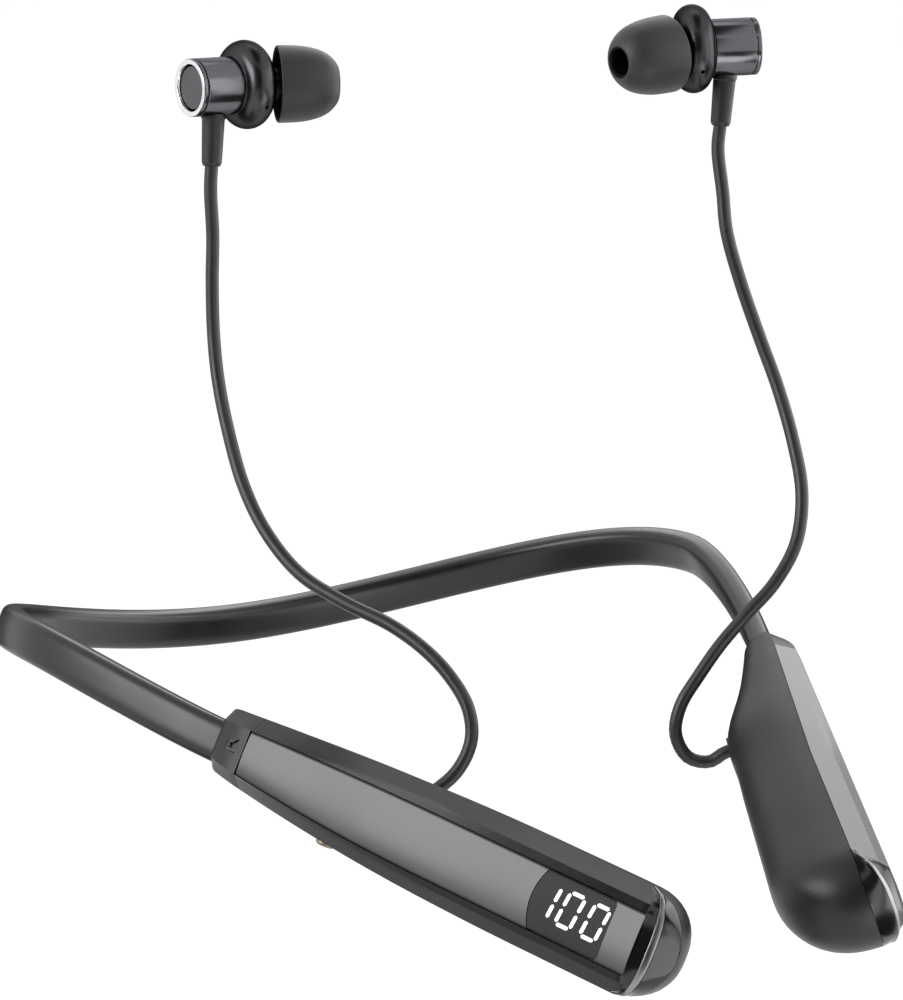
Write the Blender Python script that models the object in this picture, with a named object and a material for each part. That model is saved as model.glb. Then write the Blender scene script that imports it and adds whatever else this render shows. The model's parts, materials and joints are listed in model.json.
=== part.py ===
# Neckband earphones in the worn pose: a flexible band round the back of the neck, two pods that hang
# in front of it, and an earbud on a short cord from each pod.
# The wearer faces -Y and +X is the wearer's left. The origin is the middle of the band at the nape.
# Sizes are in millimetres, and each finished mesh is scaled to metres.

from math import cos, exp, pi, radians, sin, sqrt

import bmesh
import bpy
from mathutils import Matrix, Vector
from mathutils.geometry import interpolate_bezier

MM = 0.001
GAP = 0.3
SIDES = {"right": -1, "left": 1}

# Finishes: name, colour, roughness and metallic value
STEEL = ("spring_steel", (0.45, 0.45, 0.47), 0.35, 1.0)
SILICONE = ("black_silicone", (0.035, 0.036, 0.038), 0.55, 0.0)
SATIN = ("satin_black_plastic", (0.03, 0.03, 0.032), 0.4, 0.0)
GLOSS = ("grey_gloss_plastic", (0.16, 0.16, 0.17), 0.18, 0.0)
GUNMETAL = ("gunmetal_plating", (0.12, 0.12, 0.13), 0.2, 0.8)
CHROME = ("chrome_plating", (0.75, 0.75, 0.76), 0.08, 1.0)
SMOKED = ("smoked_window", (0.03, 0.03, 0.032), 0.08, 0.0)
LED = ("display_module", (0.85, 0.86, 0.88), 0.5, 0.0)
BOARD = ("circuit_board", (0.02, 0.12, 0.06), 0.5, 0.0)
CELL = ("battery_foil", (0.6, 0.61, 0.62), 0.4, 0.6)
BRASS = ("brass_button", (0.55, 0.42, 0.24), 0.3, 1.0)
MAGNET = ("nickel_magnet", (0.5, 0.49, 0.47), 0.25, 1.0)
JACKET = ("cable_jacket", (0.05, 0.05, 0.06), 0.6, 0.0)

# Band: one half of its centreline, from the nape over the shoulder corner to the pod's collar
CORNER = Vector((62, -51, 15.5))
COLLAR = Vector((50, -90.5, 7.5))
POD_TIP = Vector((15.5, -162, -10.9))
NAPE_HANDLE = 32
CORNER_HANDLES = (30, 9)
COLLAR_HANDLE = 11
BAND_HEIGHT = 6.6
BAND_THICKNESS = 4.2
BAND_ROUNDNESS = 3.2
BAND_SIDES = 12
DUCT_HEIGHT = 4.2
DUCT_THICKNESS = 1.9
NAPE_LEAN = 8
POD_LEAN = 20
BAND_STEP = 6.5
BAND_IN_COLLAR = 7
FLEX_START = 62
FLEX_END = 108
WIRE_DIAMETER = 1.0
WIRE_HEIGHT = 1.1
CABLE_DIAMETER = 1.2
CABLE_HEIGHT = -1.0

# Pod: stations run along its axis from the collar point, n is outward and w is up across the pod
COLLAR_STATIONS = (2, 3.5, 5.5, 8.2)
COLLAR_BOW = 0.4
SHELL_STATIONS = (8.5, 14, 21, 29, 38, 48, 60, 72, 78, 80.4, 81.6)
RING_STATIONS = (81.8, 82.75)
CAP_STATION = 83.3
CAP_COLUMNS = 11
COVER_STATIONS = (8.5, 12, 17, 23, 29, 36, 46, 58, 66, 72, 75, 78, 81, 83, 84.2)
CAVITY_STATIONS = (7.5, 12, 17, 23, 29, 36, 46, 58, 66, 72, 76, 78.5, 80.3)
POD_WALL = 1.3
HALF_HEIGHT_START = 4.7
HALF_HEIGHT_END = 8.1
FLARE_LENGTH = 60
FACE_OFFSET_START = 5.0
FACE_OFFSET_END = 8.0
FACE_LENGTH = 80
INNER_DEPTH_START = 2.8
INNER_DEPTH_END = 9.7
INNER_FLARE = 45
INNER_EASE = 1.25
FACET_DEPTH = 4.3
FACET_LIFT = 1.5
STRIP_LENGTH = 47
STRIP = (1.1, 1.18)
COLLAR_ROUNDNESS = 3.4
SHELL_BROW = 0.6
PLATE_STATIONS = (8.8, 20, 34, 58, 80)
PLATE_HALF = 4.65
PLATE_TAPER = (1.85, 46)
POD_RISE = (0.84, 46)
PLATE_THICKNESS = 1.0
WINDOW_START = 62.5
WINDOW_END = 75.5
WINDOW_HALF = 4.0
WINDOW_BOW = 2.2
WINDOW_CORNER = 1.0
DISPLAY_SIZE = (11.4, 6.2, 1.8)
DISPLAY_SHIFT = 0.6
DISPLAY_SLOT = (-6, 3)
TIP_START = 77
TIP_SWEEP = radians(1.2)
TIP_CURVE = 2.4
DOME_START = 71
DOME_LENGTH = 13.4
DOME_POWER = 0.8
DOME_POINTS = 13
FACE_DROP = 0.5
CAP_EDGE = 0.4
CAP_CROWN = (0.6, 0.75)
EXIT_STATION = 26
EXIT_BULGE = (1.6, 8)
GROMMET_RADII = (1.4, 2.1)
GROMMET_LENGTH = 2.4
GROMMET_PROUD = 0.3
GROMMET_EDGE = 0.4
GROMMET_HOLE = (-4, 3)
BUTTONS = {
    "multifunction_button": {"s": 24, "n": -0.6, "radius": 1.5, "proud": 1.0, "finish": BRASS},
    "volume_down_button": {"s": 35, "n": -3.0, "radius": 1.9, "proud": 0.35, "finish": SATIN},
    "volume_up_button": {"s": 44, "n": -3.0, "radius": 1.9, "proud": 0.35, "finish": SATIN},
}
BUTTON_DEPTH = 3.4
BUTTON_EDGE = 0.3
BUTTON_HOLE = (-6, 2)
USB_STATION = 34
USB_N = -2.1
USB_SIZE = (9.0, 3.3, 7.0)
USB_WALL = 0.3
USB_SUNK = 0.2
USB_TONGUE = {"inset": 1.1, "thickness": 0.7, "setback": 0.8, "root": 0.5}

# Inside the pods: low and high corners along, outward and up
MAIN_BOARD = ((22, 0.2, -3.6), (60, 1.0, 3.6))
MICROPHONE = ((49, -1.4, 1.0), (52.5, -0.1, 3.7))
POWER_BOARD = ((27, 0.1, -5), (44, 0.9, 5))
BATTERY = ((47, -6, -4.8), (75, 1.2, 4.8))
BATTERY_ROUNDING = 0.8

# Earbud: turned on an axis that runs from its chrome ring, u = 0, to the housing's middle
BUDS = {
    "right": {"place": Vector((-33.7, -51.6, 101.0)), "yaw": 5, "rise": -0.3, "lean": 3.2, "droop": 0},
    "left": {"place": Vector((49.3, -86.1, 106.5)), "yaw": 161, "rise": -1.5, "lean": -6, "droop": 4},
}
BUD_STEPS = 24
INNER_STEPS = 16
RELIEF_U = 4.6
RELIEF_RADII = (1.8, 1.6)
RELIEF_REACH = (4.2, 12.5)
RELIEF_COLLAR = 0.6
RELIEF_EDGE = 0.3
BARREL_RADIUS = 4.55
BARREL_WALL = 0.6
BARREL_ENDS = (1.0, 7.4)
BARREL_EDGE = (0.15, 0.2)
RING_PROFILE = ((3.7, 0.15), (3.9, 0), (4.4, 0), (4.6, 0.2), (4.6, 0.5), (4.5, 0.7), (3.7, 0.7))
# Housing: a bulge on an ellipse in (radius, u), with its front and its hollow
BULGE = {"centre": (4.6, 10.3), "radii": (2.4, 2.5), "reach": 70, "points": 7}
HOUSING_BACK = ((3.6, 7.7), (4.7, 7.7))
HOUSING_FRONT = ((3.4, 13.1), (0, 13.3))
HOUSING_HOLLOW = ((0, 12.1), (4.4, 11.8), (5.2, 11.2), (5.2, 9.3), (3.6, 8.6))
# Nozzle: canted forwards from the housing's middle, from where its own u runs, with a lip for the ear tip
NOZZLE_CANT = 24
NOZZLE_PROFILE = ((0, 1.8), (2.6, 1.8), (2.6, 8.2), (2.9, 8.5), (2.9, 9.1), (2.6, 9.4), (0, 9.4))
# Ear tip: its skirt is a superellipse over the nozzle's u, folded back to the sleeve that grips the nozzle
SKIRT = {"radius": 6.1, "start": 5.5, "length": 9.5, "fullness": 2.5}
SKIRT_STATIONS = (14.6, 14.2, 13.2, 11.6, 9.7, 7.7, 5.5)
TIP_MOUTH = (2.1, 14.5)
TIP_INSIDE = ((5.5, 5.3), (5.4, 8.0), (5.0, 10.1), (4.3, 11.5), (3.9, 11.3), (3.9, 7.1), (3.2, 7.1),
              (3.2, 9.7), (2.1, 10.3))
# Discs inside a bud: radius and both ends, the last two on the nozzle's axis
END_DISC = (3.4, 0.3, 1.1)
HOLDING_MAGNET = (3.2, 1.5, 2.3)
DRIVER = (4.8, 9.5, 10.5)
NOZZLE_BORE = (1.8, 0.9, 10)
NOZZLE_MESH = (1.5, 8.5, 8.9)

# Cords: hand-chosen points from the strain relief down to the pod, in millimetres
CORD_DIAMETER = 2.1
CORD_STEP = 5.0
CORD_STRAIGHT = 4
CORD_ROUTES = {
    "right": ((-30, -51.6, 77.5), (-30.4, -52, 70.5), (-30.8, -53, 62.5), (-31.2, -55.3, 55),
              (-31.4, -59, 47.5), (-31.4, -64, 39.8), (-30.7, -70.3, 33.3), (-28.5, -77.3, 27.8),
              (-24.8, -84.7, 24.4), (-20.5, -92, 21.7), (-17.6, -98, 18.5), (-15.7, -102.5, 14.8),
              (-14.8, -105.8, 10.8), (-15.3, -107.4, 6.3), (-17.8, -107.5, 2), (-21.6, -106.2, -1.3),
              (-26, -106.3, -2.8)),
    "left": ((43.8, -85.6, 83.5), (43.8, -87, 77), (45, -89.5, 69), (46.5, -92.7, 60.8), (47.5, -96.7, 53),
             (47.6, -101, 45), (46.8, -104.7, 37.5), (44.4, -106.8, 30.3), (40.3, -107, 24.3),
             (35.7, -106.2, 19.7), (31.4, -105.2, 15), (27.8, -104.5, 10.2), (24.9, -104, 5.8),
             (23.8, -104.2, 1.4), (25.4, -105.1, -2.4), (28.3, -106.8, -3.3)),
}


def clear_scene():
    for old in list(bpy.data.objects):
        bpy.data.objects.remove(old, do_unlink=True)


def material(finish):
    name, colour, roughness, metallic = finish
    made = bpy.data.materials.get(name)
    if made is None:
        made = bpy.data.materials.new(name)
        made.use_nodes = True
        shader = made.node_tree.nodes["Principled BSDF"]
        shader.inputs["Base Color"].default_value = (*colour, 1)
        shader.inputs["Roughness"].default_value = roughness
        shader.inputs["Metallic"].default_value = metallic
    return made


def pivot(name, place_mm):
    """An empty on a joint's axis, which carries the pieces that move with it."""
    empty = bpy.data.objects.new(name, None)
    empty.location = place_mm * MM
    bpy.context.collection.objects.link(empty)
    return empty


def solid(name, bm, finish, parent=None):
    """Turns a bmesh in world millimetres into a named object in metres under its pivot."""
    bmesh.ops.recalc_face_normals(bm, faces=bm.faces)
    if bm.calc_volume(signed=True) < 0:
        bmesh.ops.reverse_faces(bm, faces=bm.faces)
    bm.transform(Matrix.Scale(MM, 4))
    if parent:
        bm.transform(Matrix.Translation(-parent.location))
    mesh = bpy.data.meshes.new(name)
    bm.to_mesh(mesh)
    bm.free()
    mesh.shade_smooth()
    mesh.set_sharp_from_angle(angle=radians(35))
    made = bpy.data.objects.new(name, mesh)
    made.data.materials.append(material(finish))
    made.parent = parent
    bpy.context.collection.objects.link(made)
    return made


def boolean(made, bm, operation="DIFFERENCE"):
    """Cuts a piece with, or joins to it, a hidden helper solid under the same pivot."""
    helper = solid(f"{made.name}_{operation.lower()}_{len(made.modifiers)}", bm, SATIN, made.parent)
    helper.hide_render = True
    helper.display_type = "WIRE"
    modifier = made.modifiers.new(helper.name, "BOOLEAN")
    modifier.operation = operation
    modifier.solver = "EXACT"
    modifier.object = helper


def loft(rings, curled=False):
    """A closed solid of triangles, which Booleans cut cleanly, through rings of equal length.

    A curled ring runs along one side of a bent wall and back along its other side, point for point."""
    bm = bmesh.new()
    rows = [[bm.verts.new(point) for point in ring] for ring in rings]
    skin(bm, rows)
    for row in (rows[0], rows[-1]):
        if curled:
            half = len(row) // 2
            for k in range(half - 1):
                bm.faces.new((row[k], row[k + 1], row[-k - 2], row[-k - 1]))
        else:
            bm.faces.new(row)
    bmesh.ops.triangulate(bm, faces=bm.faces)
    return bm


def sleeve(outer, inner):
    """A tube between two sets of rings of equal length, open right through."""
    bm = bmesh.new()
    walls = [[[bm.verts.new(point) for point in ring] for ring in rings] for rings in (outer, inner)]
    for rows in walls:
        skin(bm, rows)
    for end in (0, -1):
        skin(bm, [rows[end] for rows in walls])
    return bm


def skin(bm, rows):
    for first, second in zip(rows, rows[1:]):
        for i in range(len(first)):
            j = (i + 1) % len(first)
            bm.faces.new((first[i], first[j], second[j], second[i]))


def turned(profile, steps, frame):
    """Spins a closed outline of (radius, u) points about the frame's Z axis."""
    bm = bmesh.new()
    points = [bm.verts.new((radius, 0, u)) for radius, u in profile]
    edges = [bm.edges.new(pair) for pair in zip(points, points[1:] + points[:1])
             if pair[0].co.x > 0 or pair[1].co.x > 0]
    bmesh.ops.spin(bm, geom=points + edges, cent=(0, 0, 0), axis=(0, 0, 1), angle=2 * pi,
                   steps=steps, use_merge=True)
    bmesh.ops.remove_doubles(bm, verts=bm.verts, dist=0.001)
    bm.transform(frame)
    return bm


def disc(radius, start, end, steps, frame):
    return turned(((0, start), (radius, start), (radius, end), (0, end)), steps, frame)


def block(low, high, frame, rounding=0):
    """A box between two corners of a frame, with its edges rounded if asked."""
    bm = bmesh.new()
    bmesh.ops.create_cube(bm, size=1)
    size = Vector(high) - Vector(low)
    middle = (Vector(high) + Vector(low)) / 2
    bm.transform(Matrix.Translation(middle) @ Matrix.Diagonal((*size, 1)))
    if rounding:
        bmesh.ops.bevel(bm, geom=bm.edges[:], offset=rounding, segments=2, profile=0.5, affect="EDGES")
    bm.transform(frame)
    return bm


def tube(name, points, diameter, sides_level, finish, parent=None):
    """A curve with a round bevel along points in world millimetres."""
    curve = bpy.data.curves.new(name, "CURVE")
    curve.dimensions = "3D"
    curve.bevel_depth = diameter / 2 * MM
    curve.bevel_resolution = sides_level
    curve.use_fill_caps = True
    line = curve.splines.new("POLY")
    line.points.add(len(points) - 1)
    origin = parent.location if parent else Vector()
    for spot, place in zip(line.points, points):
        spot.co = (*(Vector(place) * MM - origin), 1)
    curve.materials.append(material(finish))
    made = bpy.data.objects.new(name, curve)
    made.parent = parent
    bpy.context.collection.objects.link(made)
    return made


def rounded_section(height, thickness, roundness, count):
    """Points (n, w) of a rounded rectangle as a superellipse."""
    points = []
    for i in range(count):
        a = 2 * pi * (i + 0.5) / count
        n = abs(cos(a)) ** (2 / roundness) * thickness / 2
        w = abs(sin(a)) ** (2 / roundness) * height / 2
        points.append((n if cos(a) > 0 else -n, w if sin(a) > 0 else -w))
    return points


def mirrored(point, side):
    return Vector((side * point.x, point.y, point.z))


def resample(points, step):
    """Points a step apart along a polyline, both ends kept, and their distances from its start."""
    lengths = [0]
    for first, second in zip(points, points[1:]):
        lengths.append(lengths[-1] + (second - first).length)
    count = max(1, round(lengths[-1] / step))
    places, distances, k = [], [], 0
    for i in range(count + 1):
        goal = lengths[-1] * i / count
        while k < len(points) - 2 and lengths[k + 1] < goal:
            k += 1
        share = (goal - lengths[k]) / (lengths[k + 1] - lengths[k])
        places.append(points[k].lerp(points[k + 1], share))
        distances.append(goal)
    return places, distances


def smooth_route(points, step):
    """Points a step apart on a Catmull-Rom curve through the route's own points."""
    fine = []
    ends = [2 * points[0] - points[1], *points, 2 * points[-1] - points[-2]]
    for before, start, end, after in zip(ends, ends[1:], ends[2:], ends[3:]):
        fine += interpolate_bezier(start, start + (end - before) / 6, end - (after - start) / 6, end, 12)[:-1]
    return resample([*fine, points[-1]], step)[0]


def half_band():
    """The left half of the band's centreline, from the nape into the collar, as fine points."""
    along = (POD_TIP - COLLAR).normalized()
    forward = Vector((0, -1, 0))
    before, after = CORNER_HANDLES
    nape = Vector((NAPE_HANDLE, 0, 0))
    shoulder = interpolate_bezier(Vector(), nape, CORNER - forward * before, CORNER, 80)
    arm = interpolate_bezier(CORNER, CORNER + forward * after, COLLAR - along * COLLAR_HANDLE, COLLAR, 40)
    return [*shoulder, *arm[1:], COLLAR + along * BAND_IN_COLLAR]


def band_frames(side):
    """Place, outward and up directions, and distance from the nape, along one half of the band."""
    places, distances = resample([mirrored(point, side) for point in half_band()], BAND_STEP)
    frames = []
    for i, (place, distance) in enumerate(zip(places, distances)):
        tangent = (places[min(i + 1, len(places) - 1)] - places[max(i - 1, 0)]).normalized()
        if i == 0:
            tangent = Vector((side, 0, 0))
        up = (Vector((0, 0, 1)) - tangent * tangent.z).normalized()
        out = side * up.cross(tangent)
        lean = radians(NAPE_LEAN + (POD_LEAN - NAPE_LEAN) * min(1, distance / distances[-2]))
        frames.append((place, out * cos(lean) + up * sin(lean), up * cos(lean) - out * sin(lean), distance))
    return frames


def band_rings(frames, height, thickness):
    section = rounded_section(height, thickness, BAND_ROUNDNESS, BAND_SIDES)
    return [[place + out * n + up * w for n, w in section] for place, out, up, _ in frames]


def between(frames, start, end):
    """Band frames cut off at two distances from the nape."""
    kept = [frame for frame in frames if start < frame[3] < end]
    return [frame_at(frames, start), *kept, frame_at(frames, end)]


def frame_at(frames, distance):
    if distance >= frames[-1][3]:
        return frames[-1]
    for first, second in zip(frames, frames[1:]):
        if first[3] <= distance <= second[3]:
            share = (distance - first[3]) / (second[3] - first[3])
            mixed = [a.lerp(b, share) for a, b in zip(first[:3], second[:3])]
            return (*mixed, distance)
    return frames[0]


def band_piece(name, frames, parent):
    outer = band_rings(frames, BAND_HEIGHT, BAND_THICKNESS)
    duct = band_rings(frames, DUCT_HEIGHT, DUCT_THICKNESS)
    solid(name, sleeve(outer, duct), SILICONE, parent)


def build_band(pivots):
    halves = {name: band_frames(side) for name, side in SIDES.items()}
    nape = [between(halves[name], 0, FLEX_START - GAP / 2) for name in SIDES]
    band_piece("nape_band", nape[0][:0:-1] + nape[1], None)
    for name, frames in halves.items():
        band_piece(f"{name}_flex_band", between(frames, FLEX_START + GAP / 2, FLEX_END - GAP / 2), None)
        band_piece(f"{name}_arm_band", between(frames, FLEX_END + GAP / 2, frames[-1][3]), pivots[name])
    whole = halves["right"][:0:-1] + halves["left"]
    for name, height, diameter, finish in (("memory_wire", WIRE_HEIGHT, WIRE_DIAMETER, STEEL),
                                           ("link_cable", CABLE_HEIGHT, CABLE_DIAMETER, JACKET)):
        tube(name, [place + up * height for place, _, up, _ in whole], diameter, 1, finish)


def pod_frame(side):
    """Axes along, outward and up across a pod, with its origin at the collar point."""
    start = mirrored(COLLAR, side)
    along = (mirrored(POD_TIP, side) - start).normalized()
    up = (Vector((0, 0, 1)) - along * along.z).normalized()
    out = side * up.cross(along)
    lean = radians(POD_LEAN)
    columns = (along, out * cos(lean) + up * sin(lean), up * cos(lean) - out * sin(lean))
    frame = Matrix(columns).transposed().to_4x4()
    frame.translation = start
    return frame


def ease_out(share):
    return 1 - (1 - min(1, share)) ** 2


def falling(share):
    """Height of a quarter circle over a share of its length, 1 at its start and 0 at its end."""
    return sqrt(1 - min(1, max(0, share)) ** 2)


def tip_angle(s):
    """How far round the tip's half circle a station of the shell, ring or cap meets the parting edge."""
    return max(0, s - TIP_START) * TIP_SWEEP


def half_height(s):
    full = HALF_HEIGHT_START + (HALF_HEIGHT_END - HALF_HEIGHT_START) * ease_out(s / FLARE_LENGTH)
    return full * cos(tip_angle(s))


def face_offset(s):
    return FACE_OFFSET_START + (FACE_OFFSET_END - FACE_OFFSET_START) * min(s, FACE_LENGTH) / FACE_LENGTH


def inner_depth(s):
    height, width = EXIT_BULGE
    bulge = height * exp(-((s - EXIT_STATION) / width) ** 2)
    flare = ease_out((s / INNER_FLARE) ** INNER_EASE)
    full = INNER_DEPTH_START + (INNER_DEPTH_END - INNER_DEPTH_START) * flare + bulge
    return (full + parting(s)) * falling((s - DOME_START) / DOME_LENGTH) - parting(s)


def parting(s):
    """Outward place of the joint between the outer shell and the inner cover."""
    return face_offset(s) - FACET_DEPTH + FACET_LIFT * (1 - min(1, s / STRIP_LENGTH))


def plate_half(s):
    loss, length = PLATE_TAPER
    return PLATE_HALF - loss * (1 - min(1, s / length)) ** 2


def pod_rise(s):
    """How much higher the pod lies towards its collar than the straight line of its frame."""
    height, length = POD_RISE
    return height * (1 - min(1, s / length)) ** 2


def swept(s, w):
    """Place along the pod of a point of a station past the tip's start, least at the parting edges."""
    if s <= TIP_START:
        return s
    edge = TIP_START + HALF_HEIGHT_END * sin(tip_angle(s))
    share = min(1, abs(w) / half_height(s))
    return edge + (s - edge) * (1 - share ** TIP_CURVE) ** (1 / TIP_CURVE)


def outside(s):
    """Outline of the shell, trim ring and end cap, from the upper parting edge to the lower one."""
    o, h, p, m = face_offset(s), half_height(s), parting(s) + GAP / 2, plate_half(s) + GAP
    k = min(1, s / STRIP_LENGTH)
    o -= max(0, s - PLATE_STATIONS[-1]) * FACE_DROP
    edge = (o - STRIP[0] * k, m + STRIP[1] * k * (h - m) / (HALF_HEIGHT_END - PLATE_HALF))
    upper = [(p, h), edge, (o, m)]
    return [*upper, (o, 0), *((n, -w) for n, w in reversed(upper))]


def shell_section(s):
    """A wall along the outline, open towards the inner cover, out and back point for point."""
    outline = outside(s)
    p, h = outline[0]
    o, m = outline[2]
    foot = Vector((p, h - POD_WALL))
    brow = Vector((max(p, o - PLATE_THICKNESS - GAP - POD_WALL), m - SHELL_BROW))
    upper = [foot, foot.lerp(brow, 0.6), brow]
    within = [*upper, (brow.x, 0), *((n, -w) for n, w in reversed(upper))]
    return outline + within[::-1]


def dome_section(s, wall=0, reach=0):
    """Inner cover: its half round, closed by a straight line at the parting or past it."""
    height = half_height(s)
    if s > TIP_START:
        height = HALF_HEIGHT_END * falling((s - TIP_START) / HALF_HEIGHT_END)
    p, h, depth = parting(s) - GAP / 2, height - wall, inner_depth(s) - wall
    points = []
    for i in range(DOME_POINTS):
        a = pi / 2 - pi * i / (DOME_POINTS - 1)
        w = abs(sin(a)) ** DOME_POWER * h
        n = p - abs(cos(a)) ** DOME_POWER * (p + depth)
        points.append((n, w if a > 0 else -w))
    points[0] = (p + reach, h)
    points[-1] = (p + reach, -h)
    return points


def pod_rings(frame, stations, section):
    return [[frame @ Vector((s, n, w + pod_rise(s))) for n, w in section(s)] for s in stations]


def swept_rings(frame, stations):
    return [[frame @ Vector((swept(s, w), n, w + pod_rise(s))) for n, w in shell_section(s)]
            for s in stations]


def plate_section(s):
    o, m = face_offset(s), plate_half(s)
    return [(o, m), (o, -m), (o - PLATE_THICKNESS, -m), (o - PLATE_THICKNESS, m)]


def plate_pocket(s):
    o, m = face_offset(s), plate_half(s) + GAP
    mouth, floor = o + 2, o - PLATE_THICKNESS - GAP
    return [(mouth, m), (mouth, -m), (floor, -m), (floor, m)]


def cap_solid(frame):
    """The end cap: columns from the trim ring over a dome to the tip's half circle and back below."""
    s, p = CAP_STATION, parting(CAP_STATION) + GAP / 2
    top = face_offset(s) - (s - PLATE_STATIONS[-1]) * FACE_DROP
    edge = p + CAP_EDGE
    reach, rise = CAP_CROWN
    first = tip_angle(s) + TIP_SWEEP
    columns = []
    for j in range(CAP_COLUMNS):
        share = 1 - 2 * j / (CAP_COLUMNS - 1)
        angle = pi / 2 - share * (pi / 2 - first)
        w = share * half_height(s)
        back = Vector((swept(s, w), edge + (top - edge) * (1 - abs(share) ** 3), w))
        tip = Vector((TIP_START + HALF_HEIGHT_END * sin(angle), p, HALF_HEIGHT_END * cos(angle)))
        crown = back.lerp(tip, reach)
        crown.y = p + (back.y - p) * rise
        columns.append([frame @ point for point in (back, crown, tip, Vector((back.x, p, w)))])
    return loft(columns)


def window_outline(inset):
    """Window along the plate: a bowed end towards the collar and a straight end with round corners."""
    half = WINDOW_HALF + inset
    start, end, corner = WINDOW_START - inset, WINDOW_END + inset, WINDOW_CORNER
    left = [(start + WINDOW_BOW * (w / half) ** 2, w) for w in (half * (1 - i / 4) for i in range(9))]
    right = [(end - corner, -half), (end, -half + corner), (end, half - corner), (end - corner, half)]
    return left + right


def window_solid(frame, low, high, inset):
    outline = window_outline(inset)
    return loft([[frame @ Vector((s, face_offset(s) + n, w)) for s, w in outline] for n in (low, high)])


def surface_w(s, n):
    """Lower surface of the inner cover at an outward place."""
    p, depth = parting(s), inner_depth(s)
    across = min(1, (p - n) / (p + depth))
    return pod_rise(s) - half_height(s) * (1 - across ** (2 / DOME_POWER)) ** (DOME_POWER / 2)


def button_frame(frame, button):
    """Axes of a button whose top faces down out of the cover, with its origin on its outer end."""
    s, n = button["s"], button["n"]
    turn = (frame.to_3x3() @ Matrix.Rotation(pi, 3, "X")).to_4x4()
    turn.translation = frame @ Vector((s, n, surface_w(s, n) - button["proud"]))
    return turn


def build_button(name, button, frame, cover, parent):
    axes = button_frame(frame, button)
    radius, edge = button["radius"], BUTTON_EDGE
    profile = ((0, 0), (radius - edge, 0), (radius, -edge), (radius, -BUTTON_DEPTH), (0, -BUTTON_DEPTH))
    holder = pivot(f"{name}_axis", axes.translation)
    solid(name, turned(profile, INNER_STEPS, axes), button["finish"], holder)
    holder.parent = parent
    holder.location -= parent.location
    boolean(cover, disc(radius + GAP, *BUTTON_HOLE, INNER_STEPS, axes))


def collar_section(s):
    """Collar: a rounded block from the inner cover's depth to the face, which bows in towards the band."""
    depth, face = inner_depth(s), face_offset(s)
    section = rounded_section(2 * half_height(s), face + depth, COLLAR_ROUNDNESS, BAND_SIDES)
    first, last = COLLAR_STATIONS[0], COLLAR_STATIONS[-1]
    bow = 1 - COLLAR_BOW * ((last - s) / (last - first)) ** 2
    spots = [(n + (face - depth) / 2, w) for n, w in section]
    return [(n * bow if n > 0 else n, w) for n, w in spots]


def mouth_section(s):
    """Hole of the collar, round the band that runs into it on the frame's straight line."""
    section = rounded_section(BAND_HEIGHT + 2 * GAP, BAND_THICKNESS + 2 * GAP, BAND_ROUNDNESS, BAND_SIDES)
    return [(n, w - pod_rise(s)) for n, w in section]


def cavity_section(s):
    return dome_section(s, POD_WALL, 2)


def build_pod(name, side, parent):
    frame = pod_frame(side)
    collar = sleeve(*(pod_rings(frame, COLLAR_STATIONS, part) for part in (collar_section, mouth_section)))
    solid(f"{name}_collar", collar, SATIN, parent)

    shell = solid(f"{name}_outer_shell", loft(swept_rings(frame, SHELL_STATIONS), True), GLOSS, parent)
    pocket = (PLATE_STATIONS[0] - 2, *PLATE_STATIONS[1:-1], PLATE_STATIONS[-1] + GAP)
    boolean(shell, loft(pod_rings(frame, pocket, plate_pocket)))
    plate = solid(f"{name}_face_plate", loft(pod_rings(frame, PLATE_STATIONS, plate_section)), GLOSS, parent)
    solid(f"{name}_trim_ring", loft(swept_rings(frame, RING_STATIONS), True), CHROME, parent)
    solid(f"{name}_end_cap", cap_solid(frame), GLOSS, parent)

    cover = solid(f"{name}_inner_cover", loft(pod_rings(frame, COVER_STATIONS, dome_section)), SATIN, parent)
    boolean(cover, loft(pod_rings(frame, CAVITY_STATIONS, cavity_section)))
    grommet = grommet_frame(frame)
    inner, outer = GROMMET_RADII
    top, back, edge = GROMMET_PROUD, GROMMET_PROUD - GROMMET_LENGTH, GROMMET_EDGE
    bore = ((inner, top), (outer - edge, top), (outer, top - edge), (outer, back), (inner, back))
    solid(f"{name}_cord_grommet", turned(bore, INNER_STEPS, grommet), SATIN, parent)
    boolean(cover, disc(outer + GAP, *GROMMET_HOLE, INNER_STEPS, grommet))
    return frame, shell, cover, plate


def grommet_frame(frame):
    """Axes on the cord's exit: Z points out of the inner cover, towards the neck."""
    turn = (frame.to_3x3() @ Matrix.Rotation(pi / 2, 3, "X")).to_4x4()
    turn.translation = frame @ Vector((EXIT_STATION, -inner_depth(EXIT_STATION), pod_rise(EXIT_STATION)))
    return turn


def build_right_insides(frame, shell, cover, plate, parent):
    boolean(plate, window_solid(frame, -PLATE_THICKNESS - 1, 1, GAP))
    solid("display_window", window_solid(frame, -PLATE_THICKNESS, 0, 0), SMOKED, parent)
    length, height, depth = DISPLAY_SIZE
    start = (WINDOW_START + WINDOW_END - length) / 2 + DISPLAY_SHIFT
    front = face_offset(start) - PLATE_THICKNESS - GAP
    low, high = Vector((start, front, -height / 2)), Vector((start + length, front, height / 2))
    back, mouth = (Vector((0, reach, 0)) for reach in DISPLAY_SLOT)
    spare = Vector((GAP, 0, GAP))
    boolean(shell, block(low + back - spare, high + mouth + spare, frame))
    solid("display_module", block(low - Vector((0, depth, 0)), high, frame), LED, parent)
    solid("main_board", block(*MAIN_BOARD, frame), BOARD, parent)
    solid("microphone", block(*MICROPHONE, frame), MAGNET, parent)
    for name, button in BUTTONS.items():
        build_button(name, button, frame, cover, parent)


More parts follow.
